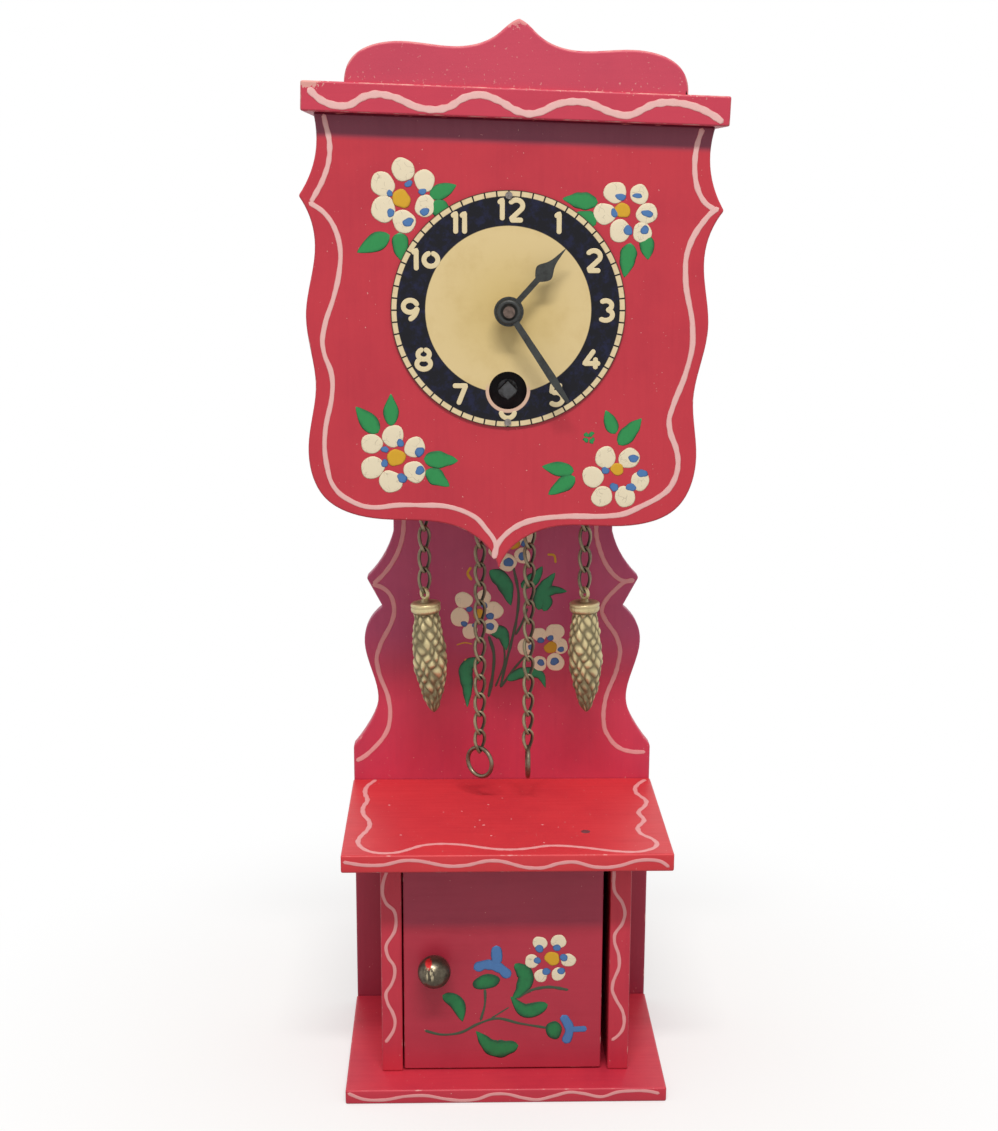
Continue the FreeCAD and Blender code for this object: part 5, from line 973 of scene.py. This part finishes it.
def chain_links(top, pitch, angles, around=32, sides=10):
    """A run of links below its top joint. A link is a long oval with a round wire carried along it, set out
    along the oval's normals. It is turned about the run by its own angle and twisted evenly by a quarter turn
    from end to end, so that each end crosses the next link. The wire's inner side and the link ends are
    marked darker, for grime and for painted shade where the links cross."""
    t, b = np.meshgrid(full_turn(around), full_turn(sides), indexing="ij")
    reach = pitch / 2 + LINK_WIRE + LINK_PLAY / 2
    out = LINK_WIRE * np.cos(b) / np.hypot(reach * np.cos(t), LINK_HALF * np.sin(t))
    across, along = (LINK_HALF + out * reach) * np.cos(t), (reach + out * LINK_HALF) * np.sin(t)
    aside = LINK_WIRE * np.sin(b)
    turn = np.radians(angles[:, None, None] - LINK_TWIST / 2 * along / along.max())
    count = np.arange(len(angles))[:, None, None]
    c, s = np.cos(turn), np.sin(turn)
    links = np.stack([across * c - aside * s, across * s + aside * c, along - pitch * (count + 0.5)], -1)
    grime_and_shade = np.clip(0.25 - 1.1 * np.cos(b) + 0.5 * np.sin(t) ** 8, 0, 0.95)
    faces = count * around * sides + band(around, sides, closed=True)
    return links.reshape(-1, 3) + top, faces.reshape(-1, 4), ("groove", np.tile(grime_and_shade.ravel(), len(angles)))


def ring_of_wire(radius, wire, turned, around=40, sides=12):
    """An upright wire ring: a wire's circle carried round a larger one in the plane of Y and Z, then turned
    about the vertical by some degrees."""
    a, b = np.meshgrid(full_turn(around), full_turn(sides), indexing="ij")
    reach, aside, turn = radius + wire * np.cos(b), wire * np.sin(b), math.radians(turned)
    out, c, s = reach * np.cos(a), math.cos(turn), math.sin(turn)
    ring = np.stack([aside * c - out * s, aside * s + out * c, reach * np.sin(a)], -1)
    return ring.reshape(-1, 3), band(around, sides, closed=True)


ring_brass = aged_metal("ring_brass", (0.26, 0.215, 0.15), (0.09, 0.075, 0.055), 0.4, 320.0, 0.36)
for side in ("left", "right"):
    for kind, carrier in RUN_BODIES.items():
        node = f"chain_{side}_{kind}_run"
        count, length = RUN_LINKS[kind], RUN_LENGTHS[kind]
        first, last = RUN_ANGLES[f"{side}_{kind}"]
        angles = last + (first - last) * np.exp(-np.arange(count) / 2)
        top = middle_of(node)[2] + [0, 0, length / 2]
        points, faces, grime_and_shade = chain_links(top, length / count, angles)
        new_piece(f"chain_{side}_{kind}_links", points, faces, chain_brass, f"{side}_{carrier}", "aged_brass",
                  node, grime_and_shade)
    node = f"ring_{side}"
    low, high, middle = middle_of(node)
    points, faces = ring_of_wire((high[Z] - low[Z]) / 2 - RING_WIRE, RING_WIRE, RING_TURNS[side])
    new_piece(f"{node}_bent", points + middle, faces, ring_brass, f"{side}_tail", "aged_brass", node)


def peg_wood(coords):
    """Pale turned wood: growth rings stretched along the peg, with fine pores."""
    rings = coords.stretched((1, 0.08, 1)).noise(700, 4, 0.6)
    pores = coords.stretched((1, 0.05, 1)).noise(3200, 2)
    return rings.eased(0.35, 0.7).mixed(PEG_PALE, PEG_DARK), pores * 0.2 + 0.5, rings + pores


finish_nodes(finished("peg_wood", peg_wood), "chain_pegs")

# Weights
# Each weight is cast in the shape of a fir cone, under a rimmed cap with a wire lug. The casting is rubbed
# bright on its scales and dull in the grooves between them.
CONE_RADIUS, CAP_RADIUS, CAP_HEIGHT, LUG_ROOM = 4.4 * MM, 3.7 * MM, 2.6 * MM, 3.9 * MM
LUG_RADIUS, LUG_WIRE, LUG_STEM, LUG_TURN = 1.25 * MM, 0.45 * MM, 0.9 * MM, 40.0
LUG_RISE = LUG_RADIUS + LUG_WIRE
TILTS, TARNISH = {"left": math.radians(4.2), "right": math.radians(1.8)}, {"left": 0.85, "right": 0.65}
SCALES_ROUND, SCALES_DOWN, SCALE_RISE, SCALE_ROWS = 9, 6.9, 0.62 * MM, 40
CONE_SHAPE = [(0, 0.72), (0.05, 0.76), (0.11, 0.82), (0.21, 0.91), (0.31, 0.97), (0.42, 1), (0.52, 0.985),
    (0.61, 0.91), (0.71, 0.79), (0.81, 0.64), (0.9, 0.46), (0.96, 0.28), (1, 0.03)]
CAP_SHAPE = [(0.8, 0), (0.93, 0.03), (0.985, 0.1), (1, 0.22), (0.975, 0.33), (0.965, 0.38), (0.985, 0.44),
    (1, 0.6), (0.985, 0.76), (0.92, 0.86), (0.865, 1)]
STEM_SHAPE = np.array([(LUG_STEM, LUG_ROOM - 2 * LUG_RISE + 0.25 * MM), (LUG_STEM * 1.05, 0.12 * MM),
                       (LUG_STEM * 1.5, 0)])
CAP_DIRT = [0.3, 0.5, 0.8, 0.1, 0.0, 0.0, 0.0, 0.15, 0.3, 0.1, 0.0, 0.1, 0.5, 0.9]
cone_brass = aged_metal("cone_brass", (0.67, 0.565, 0.30), (0.16, 0.136, 0.072), 0.16, 300.0, 0.32, "groove",
                        Metallic=0.45, Specular_IOR_Level=0.5)


def fir_cone(high, tip, seed, age, turns=180, rows=168):
    """The cone's radius is a smooth curve down its height. Two families of spiral lines cross on it, and on
    each diamond between them stands a rounded scale: one less the square of the way to the lines, multiplied
    for the two families. Each scale has its own height and tarnish."""
    rng = np.random.default_rng(seed)
    down, turn = (np.arange(rows) / rows)[:, None], full_turn(turns)
    radius = CONE_RADIUS * np.interp(down, *smooth_path(CONE_SHAPE, 81)[0].T)
    sway = 0.13 * np.sin(3 * turn + 11 * down) + 0.09 * np.sin(5 * turn - 17 * down)
    u = SCALES_ROUND * turn / (2 * math.pi) + sway
    v = SCALES_DOWN * down ** 0.95 + 0.6 * sway
    p, q = u + v, u - v
    row, col = np.floor(p) - np.floor(q), (np.floor(p) + np.floor(q)) % (2 * SCALES_ROUND)
    own, table = (row.astype(int), col.astype(int)), (SCALE_ROWS, 2 * SCALES_ROUND)
    height, tarnish = rng.uniform(0.55, 1.0, table)[own], age * rng.uniform(0, 1, table)[own] ** 1.2
    hump = np.prod([1 - (2 * (w - np.floor(w)) - 1) ** 2 for w in (p, q)], axis=0)
    rise = SCALE_RISE * np.minimum(1, radius / (0.6 * CONE_RADIUS))
    reach = np.maximum(radius - rise * (1 - hump * height), 0.02 * MM)
    # The lower part of the cone is made darker towards the tip.
    darker_below = 0.6 * np.clip((down - 0.45) / 0.4, 0, 1)
    darkening = np.clip(0.85 - 1.3 * hump + tarnish + darker_below, 0, 0.9)
    return lathe(reach, high - (high - tip) * down, turns), darkening


for side in ("left", "right"):
    node, tilt = f"weight_{side}", TILTS[side]
    low, high, _ = middle_of(node)
    middle = middle_of(f"chain_{side}_weight_run")[2]
    middle[Z] = high[Z] - LUG_RISE
    cap_top, tip = LUG_RISE - LUG_ROOM, (low[Z] - middle[Z]) / math.cos(tilt)
    cone, darkening = fir_cone(cap_top - CAP_HEIGHT, tip, len(side), TARNISH[side])
    turns = darkening.shape[1]
    wide, deep = np.array(CAP_SHAPE).T[..., None]
    beads = 1 - 0.03 * (1 - np.abs(np.sin(9 * full_turn(turns)))) * deep
    cap = lathe(CAP_RADIUS * wide * beads, cap_top - CAP_HEIGHT * deep, turns)
    stem = lathe(STEM_SHAPE[:, :1], cap_top + STEM_SHAPE[:, 1:], turns)
    shell = np.concatenate([stem, cap, cone])
    lug, lug_faces = ring_of_wire(LUG_RADIUS, LUG_WIRE, LUG_TURN)
    points = np.concatenate([shell.reshape(-1, 3), [[0, 0, shell[0, 0, Z]], [0, 0, tip]], lug])
    faces = capped(len(shell), turns) + (len(points) - len(lug) + lug_faces).tolist()
    darkening = np.concatenate([np.repeat(CAP_DIRT, turns), darkening.ravel(), [0.0, 0.5], np.zeros(len(lug))])
    aside, back, up = points.T
    hung = np.stack([aside * math.cos(tilt) - up * math.sin(tilt), back,
                     aside * math.sin(tilt) + up * math.cos(tilt)], 1) + middle
    new_piece(f"{node}_cast", hung, faces, cone_brass, f"{side}_weight", "aged_brass", node,
              ("groove", darkening))

# Room
# A white table in a light room: one long lamp high in front throws the shadows of the boards, and the room
# fills them. The camera stands where the photograph was taken.
EYE = Vector((-11.70, -395.46, 216.19)) * MM
YAW, PITCH, ROLL = 0.0256, -0.2235, 0.0039
PHOTO_WIDTH, PHOTO_HEIGHT, FOCAL, SENSOR, NEAREST = 998, 1131, 1700, 36.0, 0.01
TABLE_RINGS, TABLE_SIDES = np.array([[0.3], [0.6], [4.0]]), 96
TABLE_WHITE, TABLE_BOUNCE, WHITE = (0.90, 0.90, 0.90), (0.34, 0.34, 0.35), (1, 1, 1)
LAMP_POWER, LAMP_WIDE, LAMP_HIGH, LAMP_DISTANCE = 9.0, 0.62, 0.10, 1.1
GLOW_NEAR, GLOW_FAR, GLOW_LEAST = 0.05, 0.17, 0.45
LAMP_COLOUR, LAMP_WAY = (1.0, 0.97, 0.94), Vector((0.0, -1.0, 1.42)).normalized()
FILL_COLOUR, ROOM_FILL = (1.0, 0.98, 0.95), 0.62
scene = bpy.context.scene


def stood(name, data):
    """Puts one object into the room."""
    made = bpy.data.objects.new(name, data)
    scene.collection.objects.link(made)
    return made


def looked_at(tree):
    """Whether the camera sees a surface straight, and whether it sees it at all, also by mirror or glass."""
    path = place(tree, "LightPath")
    direct, mirrored, through = [Value(path, f"Is {way} Ray") for way in ("Camera", "Glossy", "Transmission")]
    return direct, direct.worked("MAXIMUM", mirrored.worked("MAXIMUM", through))


ahead = Vector((math.sin(YAW) * math.cos(PITCH), math.cos(YAW) * math.cos(PITCH), math.sin(PITCH)))
level = Vector((math.cos(YAW), -math.sin(YAW), 0))
upward = level.cross(ahead)
across = level * math.cos(ROLL) + upward * math.sin(ROLL)
above = upward * math.cos(ROLL) - level * math.sin(ROLL)
camera = stood("camera", bpy.data.cameras.new("camera"))
camera.data.sensor_width = SENSOR
camera.data.lens = FOCAL / max(PHOTO_WIDTH, PHOTO_HEIGHT) * SENSOR
camera.data.clip_start = NEAREST
camera.matrix_world = Matrix.Translation(EYE) @ Matrix((across, above, -ahead)).transposed().to_4x4()
scene.camera = camera

table_mesh = bpy.data.meshes.new("table")
table_mesh.from_pydata(lathe(TABLE_RINGS, 0.0, TABLE_SIDES).reshape(-1, 3).tolist(), [],
                       band(len(TABLE_RINGS), TABLE_SIDES).tolist() + [list(range(TABLE_SIDES))])
table = stood("table", table_mesh)
table_finish = bpy.data.materials.new("table_white")
table_finish.use_nodes = True
tree = table_finish.node_tree
direct, seen = looked_at(tree)
far = Value(place(tree, "TexCoord"), "Object").worked("LENGTH", kind="VectorMath", output="Value")
paint = feed(tree.nodes["Principled BSDF"], {"Base Color": direct.mixed(TABLE_BOUNCE, TABLE_WHITE),
                                             "Roughness": 0.9, "Specular IOR Level": 0.1})
glow = place(tree, "Emission", {"Color": WHITE, "Strength": 1.0})
away = far.eased(GLOW_NEAR, GLOW_FAR, GLOW_LEAST, 1.0) * seen
blend = place(tree, "MixShader", {0: away, 1: Value(paint), 2: Value(glow)})
feed(tree.nodes["Material Output"], {"Surface": Value(blend)})
table_mesh.materials.append(table_finish)

lamp = stood("lamp", bpy.data.lights.new("lamp", "AREA"))
lamp.data.shape, lamp.data.size, lamp.data.size_y = "RECTANGLE", LAMP_WIDE, LAMP_HIGH
lamp.data.energy, lamp.data.color = LAMP_POWER, LAMP_COLOUR
lamp.location = Vector((0, HOOD_FACE, DIAL_HEIGHT)) + LAMP_WAY * LAMP_DISTANCE
lamp.rotation_mode = "QUATERNION"
lamp.rotation_quaternion = (-LAMP_WAY).to_track_quat("-Z", "Y")
scene.world = bpy.data.worlds.new("room")
scene.world.use_nodes = True
tree = scene.world.node_tree
fill = place(tree, "Background", {"Color": FILL_COLOUR, "Strength": ROOM_FILL})
white = place(tree, "Background", {"Color": WHITE, "Strength": 1.0})
blend = place(tree, "MixShader", {0: looked_at(tree)[1], 1: Value(fill), 2: Value(white)})
feed(tree.nodes["World Output"], {"Surface": Value(blend)})
scene.view_settings.view_transform = "Standard"
